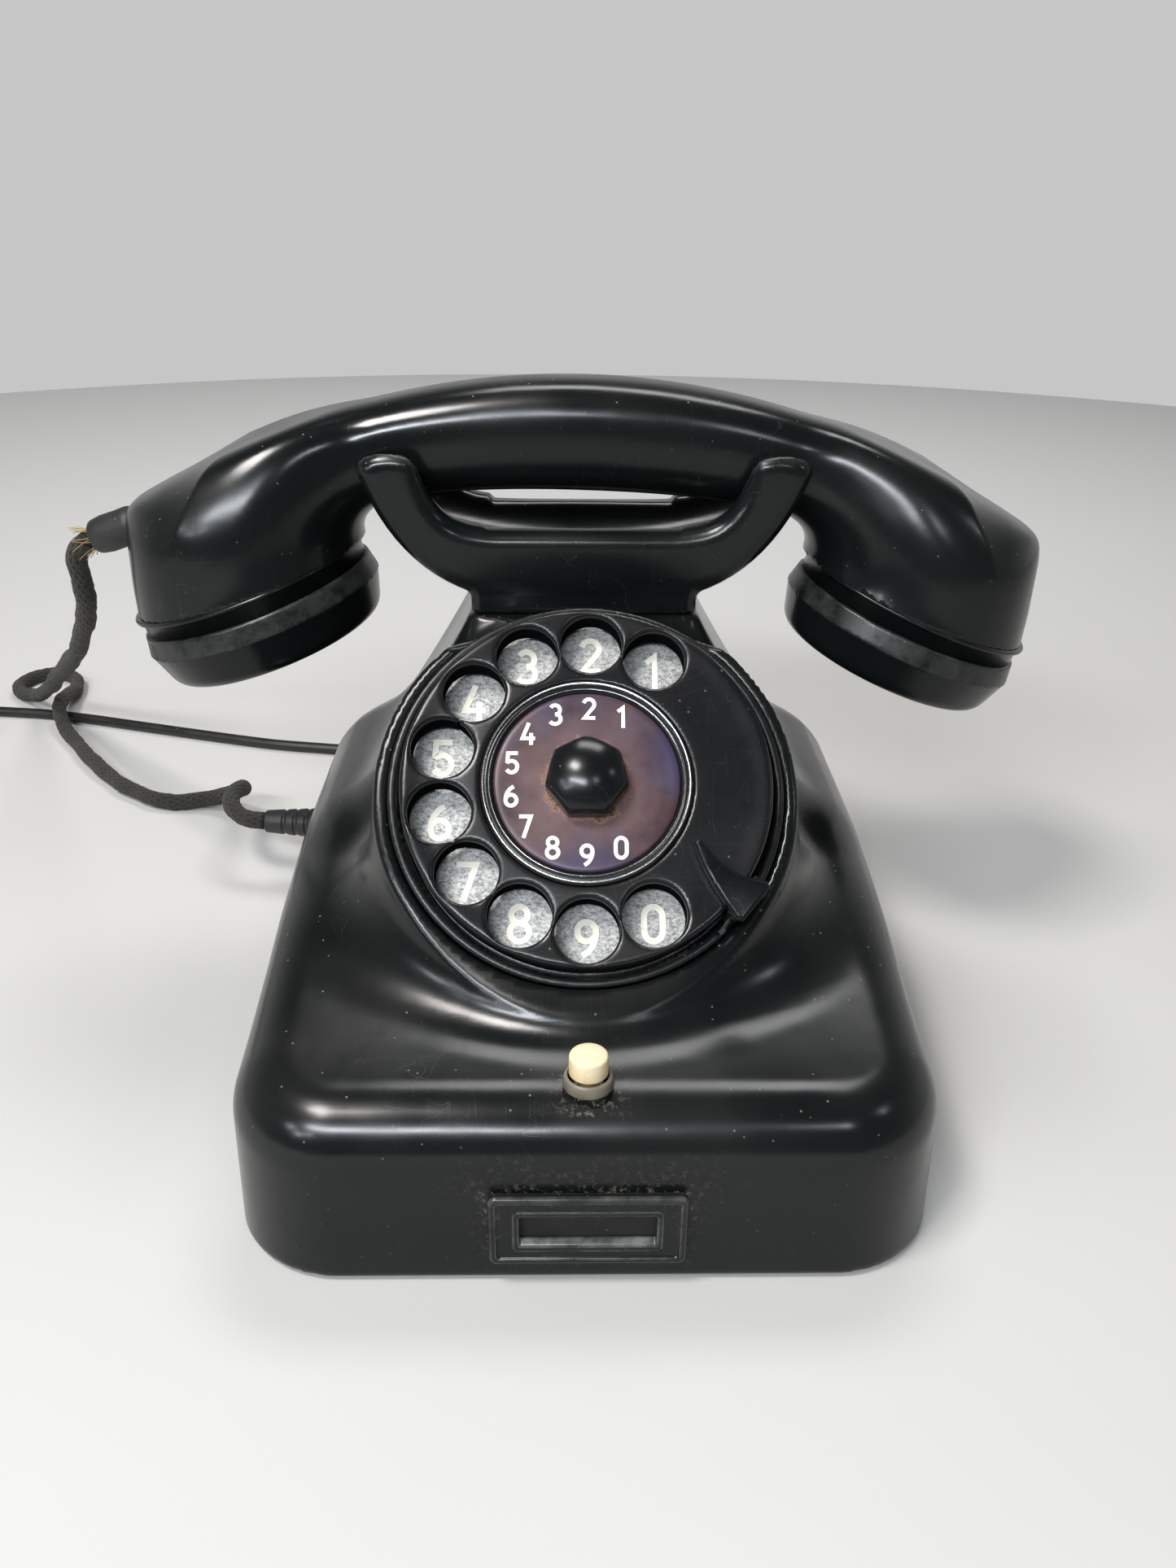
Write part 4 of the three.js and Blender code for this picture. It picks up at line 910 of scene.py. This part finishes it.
def make_label_frame():
    low, high = (-21, 0, -9.6), (21, 2, 9.6)
    points, faces, convex = surface_net(label_frame_distance, low, high, 0.42)
    place = Matrix.Translation((0, HOUSING_LOW[1] + 0.05, LABEL_Z)) @ Matrix.Diagonal((1, -1, 1, 1))
    faces = faces[:, ::-1]
    x, y, z = points.T
    inset = rectangle(x, z, *LABEL_HALF, LABEL_CORNER) + 1.6
    corner_dust = np.exp(-np.abs(inset) / 0.5) * (z > -2) * 0.35
    # painted highlights: the window's sloping lower ledge and a line along the frame's top are lightened through
    # the wear mark
    ledge = 0.42 * (np.abs(x) < WINDOW_HALF[0]) * (np.abs(z + 3.5) < 0.75) * (y < 1.6)
    top_highlight = np.clip((z - LABEL_HALF[1] + 0.9) / 0.5, 0, 1) * (y > 1.2)
    wear_and_highlight = np.maximum(wear_from(convex, 0.9, 2.4) * 0.5, np.maximum(ledge, 0.25 * top_highlight))
    make_piece("label_holder", points, faces, TRIM_BAKELITE, "base", "bakelite", ["label_frame"], place,
               {"wear_and_highlight": wear_and_highlight, "dust": corner_dust})
    frame["nodes"]["label_card"].data.materials[0] = DARK_CARD


# ---- earth button ----
def make_button():
    points, faces = turned([(4.15, 0.1), (5.25, 0.1, 0.3), (5.15, 1.2, 0.4), (5.0, 2.2, 0.5),
                            (4.6, 2.75, 0.4), (4.2, 2.65, 0.3), (4.15, 0.1)], 64)
    place = Matrix.Translation((0, BUTTON_Y, BUTTON_BASE))
    points = np.array(points)
    marks = {"dust": np.clip(1 - points[:, 2] / 1.4, 0, 1) * 0.8}
    horn = cream_plastic("aged_horn", (0.20, 0.18, 0.135), (0.10, 0.088, 0.06), BUTTON_BASE, BUTTON_BASE + 3)
    make_piece("button_bezel", points, faces, horn, "base", "horn", ["button_collar"], place, marks)
    ivory = cream_plastic("ivory", (0.78, 0.68, 0.46), (0.60, 0.43, 0.20), BUTTON_BASE + 1.5,
                          BUTTON_BASE + 7.2)
    profile = [(0, -12), (2.2, -12, 0.3), (2.2, 3), (4.0, 3, 0.3), (4.0, 5.2), (3.92, 7.3, 0.45),
               (2.6, 7.6, 0.5), (0, 7.68)]
    turned_piece("button_cap", profile, 64, ivory, "button", "ivory", ["earth_button"], place)


# ---- dial ----
KNOB_SIDES = 7
KNOB_FLAT = 8.5
KNOB_DOME = 13.1
KNOB_DOME_DROP = 4.6
DISC_RADIUS = 20.6
SHAFT_BORE = 3.6
NOTCH_ANGLE = -40.5
STOP_ANGLE = -38


def hole_centres():
    angles = [math.radians(FIRST_HOLE + HOLE_PITCH * i) for i in range(10)]
    return [(HOLE_CIRCLE * math.cos(a), HOLE_CIRCLE * math.sin(a)) for a in angles]


def wheel_distance(x, y, z):
    radius = np.hypot(x, y)
    dish = 0.55 * smooth_step(24, 33, radius) * (1 - smooth_step(36, 41, radius))
    solid = rounded_edge(radius - WHEEL_RADIUS, np.maximum(z + dish * 0.5, WHEEL_UNDERSIDE - z), 1.1)
    solid = smooth_max(solid, -np.maximum(radius - 23.6, -1.2 - z), 0.5)
    solid = np.maximum(solid, 3.4 - radius)
    for cx, cy in hole_centres():
        solid = smooth_max(solid, HOLE_RADIUS - np.hypot(x - cx, y - cy), 0.8)
    return solid


def knob_distance(x, y, z):
    radius = np.hypot(x, y)
    flats = None
    for i in range(KNOB_SIDES):
        angle = 2 * math.pi * i / KNOB_SIDES - math.pi / 2
        flat = x * math.cos(angle) + y * math.sin(angle) - KNOB_FLAT
        flats = flat if flats is None else smooth_max(flats, flat, 0.5)
    dome = np.sqrt(radius ** 2 + (z + KNOB_DOME_DROP) ** 2) - KNOB_DOME
    solid = smooth_max(flats, dome, 1.0)
    solid = smooth_max(solid, 0.6 - z, 0.6)
    return np.maximum(solid, -np.maximum(radius - 3.4, z - 4))


def rim_distance(x, y, z):
    radius = np.hypot(x, y)
    wall = rounded_edge(np.maximum(radius - RIM_RADIUS, RIM_RADIUS - 1.9 - radius), z - RIM_TOP, 0.55)
    inner_step = overlap(radius - RIM_RADIUS + 1, WHEEL_RADIUS + 0.5 - radius, z - RIM_TOP + 2.6)
    floor = overlap(radius - RIM_RADIUS, 24 - radius, z - CUP_FLOOR - 1.2)
    solid = np.maximum(np.minimum(np.minimum(wall, inner_step), floor), CUP_FLOOR + 0.3 - z)
    turn = math.radians(NOTCH_ANGLE)
    a, b = x * math.cos(turn) + y * math.sin(turn), y * math.cos(turn) - x * math.sin(turn)
    notch = overlap(np.abs(b) - 6.2, RIM_RADIUS - 6.5 - a, PLATE_TOP - z)
    return smooth_max(solid, -notch, 0.4)


def fang_outline():
    start = [(22.9, -14.4)]
    return np.vstack([
        start, bezier((22.9, -14.4), (23.4, -13.2), (24.7, -14.2), steps=5),
        bezier((24.7, -14.2), (27.5, -19), (31, -22), (38.2, -23.2)),
        [(39.2, -24.2)], [(32.9, -31.9)], [(31.6, -31.2)],
        bezier((31.6, -31.2), (27.8, -26.4), (24.6, -20.6), (22.95, -14.6))])


def stop_distance(x, y, z):
    """The finger stop: a curved fang over the wheel, joined to a foot outside it."""
    flat = outline_distance(x, y, fang_outline())
    crest = 3.7 - 0.035 * (np.hypot(x - 27, y + 21)) ** 1.3
    blade = rounded_edge(flat, np.maximum(z - crest, 0.9 - z), 0.75)
    radius = np.hypot(x, y)
    sideways = np.abs(np.arctan2(y, x) - math.radians(STOP_ANGLE)) * radius - 5.2
    foot = overlap(WHEEL_RADIUS + 0.7 - radius, radius - RIM_RADIUS + 0.2, z - 2, PLATE_TOP - z, sideways)
    return smooth_min(blade, foot, 1.2)


def stroke_strip(line, width, height):
    """A flat closed strip of a width along a line of (x, y) points."""
    line = np.array(line, float)
    closed = np.allclose(line[0], line[-1])
    ahead = np.gradient(line, axis=0)
    if closed:
        ahead[0] = ahead[-1] = line[1] - line[-2]
    else:
        steps = np.diff(line, axis=0)
        steps /= np.linalg.norm(steps, axis=1)[:, None]
        ahead[1:-1] = steps[1:] + steps[:-1]
        ahead[0], ahead[-1] = steps[0], steps[-1]
    ahead /= np.linalg.norm(ahead, axis=1)[:, None]
    mitre = np.ones(len(line))
    if not closed:
        mitre[1:-1] = 1 / np.maximum(np.einsum("ij,ij->i", ahead[1:-1], steps[1:]), 0.5)
    across = np.stack([-ahead[:, 1], ahead[:, 0]], axis=1) * (width / 2 * mitre)[:, None]
    points = []
    for centre, side in zip(line, across):
        left, right = centre + side, centre - side
        points += [(*left, height), (*right, height), (*right, 0), (*left, 0)]
    faces = []
    for i in range(len(line) - 1):
        for j in range(4):
            k = (j + 1) % 4
            faces.append((4 * i + j, 4 * i + k, 4 * i + 4 + k, 4 * i + 4 + j))
    if not closed:
        last = 4 * (len(line) - 1)
        faces += [(3, 2, 1, 0), (last, last + 1, last + 2, last + 3)]
    return points, faces


def arc(cx, cy, rx, ry, start, end, steps=14):
    angles = np.radians(np.linspace(start, end, steps))
    return [(cx + rx * math.cos(a), cy + ry * math.sin(a)) for a in angles]


def digit_strokes(digit):
    """Middle lines of plain engineering digits in a box one high."""
    six = arc(0, -0.19, 0.23, 0.24, 0, 360, 24)
    tail = arc(0.33, -0.16, 0.56, 0.62, 180, 113, 10)
    forms = {
        0: [arc(0, 0.17, 0.23, 0.26, 0, 180) + arc(0, -0.17, 0.23, 0.26, 180, 360) + [(0.23, 0.17)]],
        1: [[(-0.17, 0.24), (0.05, 0.42), (0.05, -0.5)]],
        2: [arc(0, 0.19, 0.23, 0.24, 165, -30) + [(-0.2, -0.43), (0.27, -0.43)]],
        3: [arc(-0.02, 0.21, 0.21, 0.22, 150, -90), arc(-0.02, -0.2, 0.24, 0.23, 90, -150)],
        4: [[(0.03, 0.5), (-0.24, -0.2), (0.3, -0.2)], [(0.13, 0.04), (0.13, -0.5)]],
        5: [[(0.24, 0.43), (-0.18, 0.43), (-0.2, 0.06)] + arc(-0.02, -0.17, 0.24, 0.26, 125, -150)],
        6: [six, tail],
        7: [[(-0.27, 0.43), (0.22, 0.43), (-0.08, -0.5)]],
        8: [arc(0, 0.23, 0.2, 0.2, 0, 360, 24), arc(0, -0.2, 0.24, 0.23, 0, 360, 24)],
        9: [[(-x, -y) for x, y in six], [(-x, -y) for x, y in tail]],
    }
    return forms[digit]


def make_digits(name, circle, height, stroke, level, body, material):
    """The ten dial digits, upright, round a circle."""
    points, faces = [], []
    for i in range(10):
        angle = math.radians(FIRST_HOLE + HOLE_PITCH * i)
        centre = np.array([circle * math.cos(angle), circle * math.sin(angle), level])
        for number, line in enumerate(digit_strokes((i + 1) % 10)):
            scaled = [(x * height, y * height) for x, y in line]
            strip, strip_faces = stroke_strip(scaled, stroke, 0.05 + 0.004 * number)
            offset = len(points)
            points.extend(np.array(strip) + centre)
            faces.extend(tuple(v + offset for v in f) for f in strip_faces)
    piece = make_piece(name, points, faces, material, body, "ivory", place=dial_place)
    return sharpen(piece)


def digit_paint(name, colour, chipped):
    g = Graph(name)
    flake = g.span(g.noise(500, 4, roughness=0.7), 0.36, 0.42, chipped, 0)
    body = g.mix(g.span(g.noise(90, 3), 0.35, 0.7), colour, tuple(0.82 * c for c in colour))
    g.set("Base Color", g.mix(flake, body, (0.2, 0.19, 0.17)))
    g.set("Roughness", g.span(g.noise(200, 2), 0.3, 0.7, 0.45, 0.65))
    g.bump(g.noise(600, 2), 0.1, 0.0001)
    return g.material


def make_wheel():
    points, faces, convex = surface_net(wheel_distance, (-41.3, -41.3, WHEEL_UNDERSIDE), (41.3, 41.3, 0.2),
                                        0.62)
    # painted shade: the finger-hole walls lose their shine so that they read as black
    painted_shade = np.min([np.hypot(points[:, 0] - cx, points[:, 1] - cy) for cx, cy in hole_centres()], axis=0)
    painted_shade = np.clip(1.5 - (painted_shade - HOLE_RADIUS) / 0.3, 0, 1) * np.clip(-0.6 - points[:, 2], 0, 1)
    make_piece("dial_wheel", points, faces, DIAL_BAKELITE, "dial", "bakelite", ["finger_wheel"], dial_place,
               {"wear_and_highlight": wear_from(convex, 0.7, 2.2) * 0.22 * (1 - painted_shade), "painted_shade": painted_shade})


def make_rings():
    """Two thin bright rings and the dark groove that they lie in."""
    for name, inner, outer, top, replaced in (("dial_ring", 22.6, 23.1, 0.9, ["label_ring"]),
                                              ("dial_ring_inner", 21.35, 21.6, 0.7, [])):
        profile = [(inner, -0.9), (outer, -0.9), (outer, top, 0.3), (inner, top, 0.3), (inner, -0.9)]
        turned_piece(name, profile, 128, CHROME, "dial", "chrome", replaced, dial_place)
    profile = [(20.7, -0.9), (23.5, -0.9), (23.5, 0.35), (20.7, 0.35), (20.7, -0.9)]
    turned_piece("dial_ring_groove", profile, 128, DIAL_BAKELITE, "dial", "bakelite", place=dial_place)


def make_knob():
    points, faces, convex = surface_net(knob_distance, (-9, -9, 0.6), (9, 9, 8.6), 0.38)
    make_piece("dial_knob", points, faces, DIAL_BAKELITE, "dial", "bakelite", ["centre_knob"], dial_place,
               {"wear_and_highlight": wear_from(convex, 0.6, 1.6) * 0.3})


def make_number_plate():
    profile = [(SHAFT_BORE, -11.6), (WHEEL_RADIUS, -11.6), (WHEEL_RADIUS, FACE_TOP, 0.4),
               (24.5, FACE_TOP, 0.4), (24.0, PLATE_TOP), (SHAFT_BORE, PLATE_TOP), (SHAFT_BORE, -11.6)]
    plate = turned_piece("dial_number_plate", profile, 128, PLATE_METAL, "base", "aluminium",
                         ["number_plate"], dial_place)
    sharpen(plate)


def make_rim_and_stop():
    points, faces, convex = surface_net(rim_distance, (-44.5, -44.5, CUP_FLOOR), (44.5, 44.5, RIM_TOP), 0.62)
    # a lighter ring along the rim's top edge: wear, and a painted highlight along that edge
    top_edge_wear_and_highlight = np.clip((points[:, 2] - RIM_TOP + 0.5) / 0.4, 0, 1) * 0.35
    make_piece("dial_surround", points, faces, DIAL_BAKELITE, "base", "bakelite", ["dial_rim"], dial_place,
               {"wear_and_highlight": np.maximum(wear_from(convex, 0.9, 2.6) * 0.3, top_edge_wear_and_highlight)})
    points, faces, convex = surface_net(stop_distance, (22, -34, PLATE_TOP), (42, -13, 4), 0.4)
    # painted shade: the finger stop's shine is halved so that it reads as black
    make_piece("dial_finger_stop", points, faces, BAKELITE, "base", "bakelite", ["finger_stop"], dial_place,
               {"wear_and_highlight": wear_from(convex, 0.7, 2.5) * 0.4, "painted_shade": np.full(len(points), 0.5)})


def make_dial():
    make_wheel()
    make_rings()
    make_label_disc()
    make_knob()
    make_number_plate()
    make_rim_and_stop()
    cream = digit_paint("plate_digits_paint", (0.95, 0.91, 0.78), 0.2)
    white = digit_paint("disc_digits_paint", (0.86, 0.84, 0.80), 0.12)
    make_digits("plate_digits", HOLE_CIRCLE + 0.5, 8.9, 1.36, FACE_TOP, "base", cream)
    make_digits("disc_digits", 16.9, 5.2, 0.88, 0.4, "dial", white)


def make_label_disc():
    """The disc is made of fine rings so that its wear and its painted sheen can follow the knob."""
    rings = [(r, 0.4 - 0.15 * max(0, (r - 19.4)) ** 2) for r in np.linspace(DISC_RADIUS, SHAFT_BORE, 30)]
    profile = [(SHAFT_BORE, -0.6), (DISC_RADIUS, -0.6)] + rings + [(SHAFT_BORE, -0.6)]
    points, faces = turned(profile, 96)
    points = np.array(points)
    radius = np.hypot(points[:, 0], points[:, 1])
    ring = np.clip(1.25 - (radius - 8.2) / 7.5, 0, 1.25)
    make_piece("dial_label_disc", points, faces, ENAMEL, "dial", "label", ["centre_disc"], dial_place,
               {"knob_wear_and_sheen": ring})


# ---- cradle ----
CRADLE_BOTTOM = NECK_TOP + 0.3
PLINTH_HEIGHT = 4.8


def cradle_outline():
    low = CRADLE_BOTTOM + PLINTH_HEIGHT
    right = np.vstack([
        [(28.5, low)], bezier((28.5, low), (47, low + 6.6), (55, 140.5), steps=12),
        bezier((55, 140.5), (55.5, 146.2), (41.5, 147.4), (40.2, 143), steps=10),
        bezier((40.2, 143), (37, 128.2), (31, 127.2), (22, 126.6), steps=12)])
    left = right[::-1] * (-1, 1)
    return np.vstack([right, left])


CRADLE_OUTLINE = cradle_outline()


def channel_floor(x):
    return 136 + (99.5 - 136) * 0.5 * (1 - (x / 70) ** 2)


def cradle_distance(x, y, z):
    depth = np.abs(y - NECK_Y)
    flat = outline_distance(x, z, CRADLE_OUTLINE)
    sag = 1.8 * np.clip((y - NECK_Y) / CRADLE_HALF_DEPTH, 0, 1) * np.clip(1 - (x / 36) ** 4, 0, 1)
    boat = rounded_edge(smooth_max(flat, z + sag - 146.5, 1), depth - CRADLE_HALF_DEPTH, 4)
    boat = smooth_max(boat, z + sag - 126.6 - 40 * np.clip(np.abs(x) / 24 - 1, 0, 1), 1.5)
    bowl = channel_floor(x) + 16 * (depth / 18) ** 3
    boat = smooth_max(boat, (z - bowl) * 0.8, 1.6)
    plinth = rectangle(x, y - NECK_Y, 28.3, CRADLE_HALF_DEPTH - 0.4, 2.5)
    plinth = rounded_edge(plinth, np.maximum(z - CRADLE_BOTTOM - PLINTH_HEIGHT - 2, CRADLE_BOTTOM - z), 0.8)
    guide = overlap(rectangle(x, y - NECK_Y, 24.7, 16.7, 1), z - 110, 92 - z)
    return np.minimum(smooth_min(boat, plinth, 1.6), guide)


def make_cradle():
    points, faces, convex = surface_net(cradle_distance, CRADLE_LOW, CRADLE_HIGH, 0.95)
    x, _, z = points.T
    tips = np.clip((z - 142.5) / 2.5, 0, 1) * (np.abs(x) > 36)
    make_piece("cradle_fork", points, faces, BAKELITE, "fork", "bakelite", ["cradle"],
               marks={"wear_and_highlight": np.maximum(wear_from(convex, 0.4, 1.0), tips)})


# ---- handset ----
CROWN_RADIUS = 46
HANDLE_HALF_DEPTH = 14.5
HANDLE_END = 84
END_CENTRE = 84.6
END_RADIUS = 32.8
END_WALL = 3  # wall kept at the outer ends; the CAD shell is almost open there
POCKET_RADIUS = 26.5
POCKET_TOP = 13
HOLE_DRILL = 1.4
STRANDS = 26
STRAND_RADIUS = 0.11


def handset_top(s):
    return 160 - 18.3 * (s / 85) ** 2


def handset_distance(x, y, z):
    s = np.abs(x)
    top = handset_top(s)
    bottom = 132 - 10.5 * (s / 85) ** 2.2
    middle, half = (top + bottom) / 2, (top - bottom) / 2
    power = 2.5
    section = (np.abs(y / HANDLE_HALF_DEPTH) ** power + np.abs((z - middle) / half) ** power) ** (1 / power)
    handle = np.maximum((section - 1) * HANDLE_HALF_DEPTH, s - HANDLE_END)
    across = (s - CAP_X) * math.cos(CAP_TILT) - (z - CAP_Z) * math.sin(CAP_TILT)
    above = (s - CAP_X) * math.sin(CAP_TILT) + (z - CAP_Z) * math.cos(CAP_TILT)
    radius = np.hypot(across, y)
    end = np.hypot(s - END_CENTRE, y) - END_RADIUS
    crown = (z - top + y * y / (2 * CROWN_RADIUS)) * 0.9
    flare = 0.7 * np.exp(-np.maximum(above, 0) / 2.4)
    bell = smooth_max(radius - BELL_RADIUS - flare, crown, 13)
    bell = smooth_max(bell, end - flare, 3.5)
    bell = np.maximum(bell, -above)
    body = smooth_min(handle, bell, 20)
    body = smooth_max(body, (z - top) * 0.95, 2.5)
    body = smooth_max(body, np.minimum(-above, s - 50), 0.5)
    spigot = overlap(radius - 29.6, above - 2, -4.2 - above)
    body = np.minimum(body, spigot)
    pocket = overlap(radius - POCKET_RADIUS, above - POCKET_TOP, -5 - above, end + END_WALL)
    return np.maximum(body, -pocket)


def cap_shape(hole_rings):
    """The shape of a screwed cap whose face has rings of holes, each a (circle, count)."""
    def cap_distance(x, y, z):
        radius = np.hypot(x, y)
        cone = radius - np.interp(z, (-20, -9.7, -9.5, -4.4), (28.6, CAP_RADIUS - 0.25, CAP_RADIUS, 31.1))
        face = -(z + 19.5 - 0.05 * np.maximum(20 - radius, 0))
        solid = smooth_max(cone * 0.97, face, 3.4)
        solid = smooth_max(solid, z + 4.4, 0.3)
        hollow = np.maximum(radius - 25.6, -15.8 - z)
        solid = smooth_max(solid, -hollow, 0.8)
        for circle, count in hole_rings:
            for i in range(count):
                angle = 2 * math.pi * i / count
                drill = HOLE_DRILL - np.hypot(x - circle * math.cos(angle), y - circle * math.sin(angle))
                solid = smooth_max(solid, drill, 0.7)
        return solid
    return cap_distance


def make_handset():
    points, faces, convex = surface_net(handset_distance, (-119, -33, 90), (119, 33, 160.5), 0.9)
    make_piece("handset_body", points, faces, BAKELITE, "handset", "bakelite", ["handset_shell"],
               handset_place, {"wear_and_highlight": wear_from(convex, 0.8, 2.4)})
    lip = [(28.5, -4.35), (30.35, -4.35), (30.35, -0.7), (31.55, -0.35, 0.3), (31.75, 0.35, 0.4),
           (31.2, 0.8, 0.2), (28.5, 0.8), (28.5, -4.35)]
    for name, side, node, hole_rings in (("mouthpiece", -1, "mouth_cap", ((0, 1), (6.5, 6), (12.5, 10))),
                                         ("earpiece", 1, "ear_cap", ((0, 1), (6, 6)))):
        place = cap_place(side)
        turned_piece(f"{name}_collar", lip, 128, BAKELITE, "handset", "bakelite", place=place)
        points, faces, convex = surface_net(cap_shape(hole_rings), (-33, -33, -20), (33, 33, -4), 0.65)
        # painted reflection: the caps' upper cone is lightened through the wear mark, as if catching the light
        cone_band_reflection = 0.8 * (points[:, 2] > -9.4)
        make_piece(name, points, faces, BAKELITE, "handset", "bakelite", [node], place,
                   {"wear_and_highlight": np.maximum(wear_from(convex, 0.5, 1.8), cone_band_reflection)})


def make_sleeve():
    """The rubber sleeve where the cord leaves the handset, with frayed yellow braid ends."""
    profile = [(0, -9), (4.3, -9), (4.5, -1), (5.0, 0.5, 0.5), (4.85, 4), (4.9, 8), (4.4, 11.4, 0.8),
               (3.0, 12), (0, 12)]
    place = handset_place @ aimed(SLEEVE_FOOT, SLEEVE_OUT)
    sleeve = turned_piece("handset_cord_sleeve", profile, 48, RUBBER, "handset", "rubber",
                          ["handset_sleeve"], place)
    tip = place @ Vector((0, 0, 11.5))
    out = (place.to_3x3() @ Vector((0, 0, 1))).normalized()
    points, faces = [], []
    for _ in range(STRANDS):
        angle = random.uniform(0, 2 * math.pi)
        side = place.to_3x3() @ Vector((math.cos(angle), math.sin(angle), 0))
        start = tip + side * 2.6
        reach = random.uniform(2.5, 5.5)
        curl = Vector(random.normal(size=3)) * 0.9
        steps = np.linspace(0, 1, 6)
        path = [start + (out * t + side * t * t * 0.35) * reach + curl * t * t for t in steps]
        strand, strand_faces, _ = tube([tuple(p) for p in path], STRAND_RADIUS, sides=5)
        offset = len(points)
        points.extend(strand)
        faces.extend([v + offset for v in f] for f in strand_faces)
    ochre = plain("frayed_braid", (0.42, 0.30, 0.12), (0.2, 0.14, 0.06), (0.8, 0.9))
    make_piece("frayed_strands", points, faces, ochre, "handset", "textile").parent = sleeve
    return sleeve


def finish_cad_nodes():
    """Every CAD node that still shows takes the material of its slot."""
    slots = {part["node"]: part["material_slot"] for part in frame["record"]["subparts"]}
    for name, node in frame["nodes"].items():
        if node.data.materials and slots.get(name) in SLOT_MATERIAL and name != "label_card":
            node.data.materials[0] = SLOT_MATERIAL[slots[name]]
        node.data.shade_smooth()
        node.data.set_sharp_from_angle(angle=math.radians(35))


# ---- studio, in metres ----
FLOOR_RADIUS = 1.1
SPOTS = [((-0.75, -0.80, 0.50), 0.7), ((-0.88, -0.66, 0.62), 0.7), ((-0.62, -0.92, 0.60), 0.6),
         ((0.30, -0.75, 0.72), 0.45), ((0.9, -0.35, 0.85), 0.35)]


def make_area(name, place, target, size, energy, colour=(1, 1, 1), size_y=None):
    data = bpy.data.lights.new(name, "AREA")
    data.shape = "RECTANGLE"
    data.size = size
    data.size_y = size_y or size
    data.energy = energy
    data.color = colour
    lamp = bpy.data.objects.new(name, data)
    lamp.location = place
    lamp.rotation_euler = (Vector(target) - Vector(place)).to_track_quat("-Z", "Y").to_euler()
    scene.collection.objects.link(lamp)


def make_studio():
    g = Graph("floor_paper")
    split = g.node("ShaderNodeSeparateXYZ")
    g.put(split.inputs[0], g.object_place)
    paper = g.mix(g.noise(6, 3), (0.56, 0.55, 0.53), (0.60, 0.59, 0.57))
    g.set("Base Color", g.mix(g.span(split.outputs[1], 0.1, 1.0), paper, (0.93, 0.93, 0.92)))
    g.set("Roughness", 0.7)
    mesh = bpy.data.meshes.new("floor")
    angles = [math.radians(a) for a in range(0, 360, 3)]
    rim = [(FLOOR_RADIUS * math.cos(a), FLOOR_RADIUS * math.sin(a), 0) for a in angles]
    mesh.from_pydata(rim, [], [tuple(range(len(rim)))])
    mesh.materials.append(g.material)
    floor = bpy.data.objects.new("floor", mesh)
    scene.collection.objects.link(floor)
    make_area("key", (-0.42, -0.36, 1.12), (0, -0.03, 0.08), 0.34, 10, (1, 0.97, 0.94), 0.24)
    make_area("window", (-0.30, -0.80, 0.72), (0, -0.05, 0.05), 0.6, 8, (0.88, 0.94, 1), 0.08)
    make_area("rim", (0.1, 0.45, 1.0), (0, 0.04, 0.12), 0.6, 4, (1, 1, 1), 0.3)
    for place, energy in SPOTS:
        make_area("spot", place, (0, 0, 0.1), 0.07, energy, (0.92, 0.96, 1))
    scene.world = make_sky()
    scene.view_settings.view_transform = "Standard"


def make_sky():
    """A room that is pale low down behind the telephone, and dim overhead and in front."""
    world = bpy.data.worlds.new("world")
    world.use_nodes = True
    nodes, links = world.node_tree.nodes, world.node_tree.links
    split = nodes.new("ShaderNodeSeparateXYZ")
    links.new(nodes.new("ShaderNodeTexCoord").outputs["Generated"], split.inputs[0])
    factors = []
    for output, low, high, start, end in ((2, 0.1, 0.65, 1.0, 0.12), (1, -0.4, 0.35, 0.25, 1.0)):
        span = nodes.new("ShaderNodeMapRange")
        links.new(split.outputs[output], span.inputs[0])
        for socket, value in zip(list(span.inputs)[1:], (low, high, start, end)):
            socket.default_value = value
        factors.append(span.outputs[0])
    product = nodes.new("ShaderNodeMath")
    product.operation = "MULTIPLY"
    for socket, factor in zip(product.inputs, factors):
        links.new(factor, socket)
    links.new(product.outputs[0], nodes["Background"].inputs["Strength"])
    nodes["Background"].inputs["Color"].default_value = (0.57, 0.565, 0.57, 1)
    return world


make_housing()
make_label_frame()
make_button()
make_dial()
make_cradle()
make_handset()
make_cords(make_sleeve())
finish_cad_nodes()
make_studio()
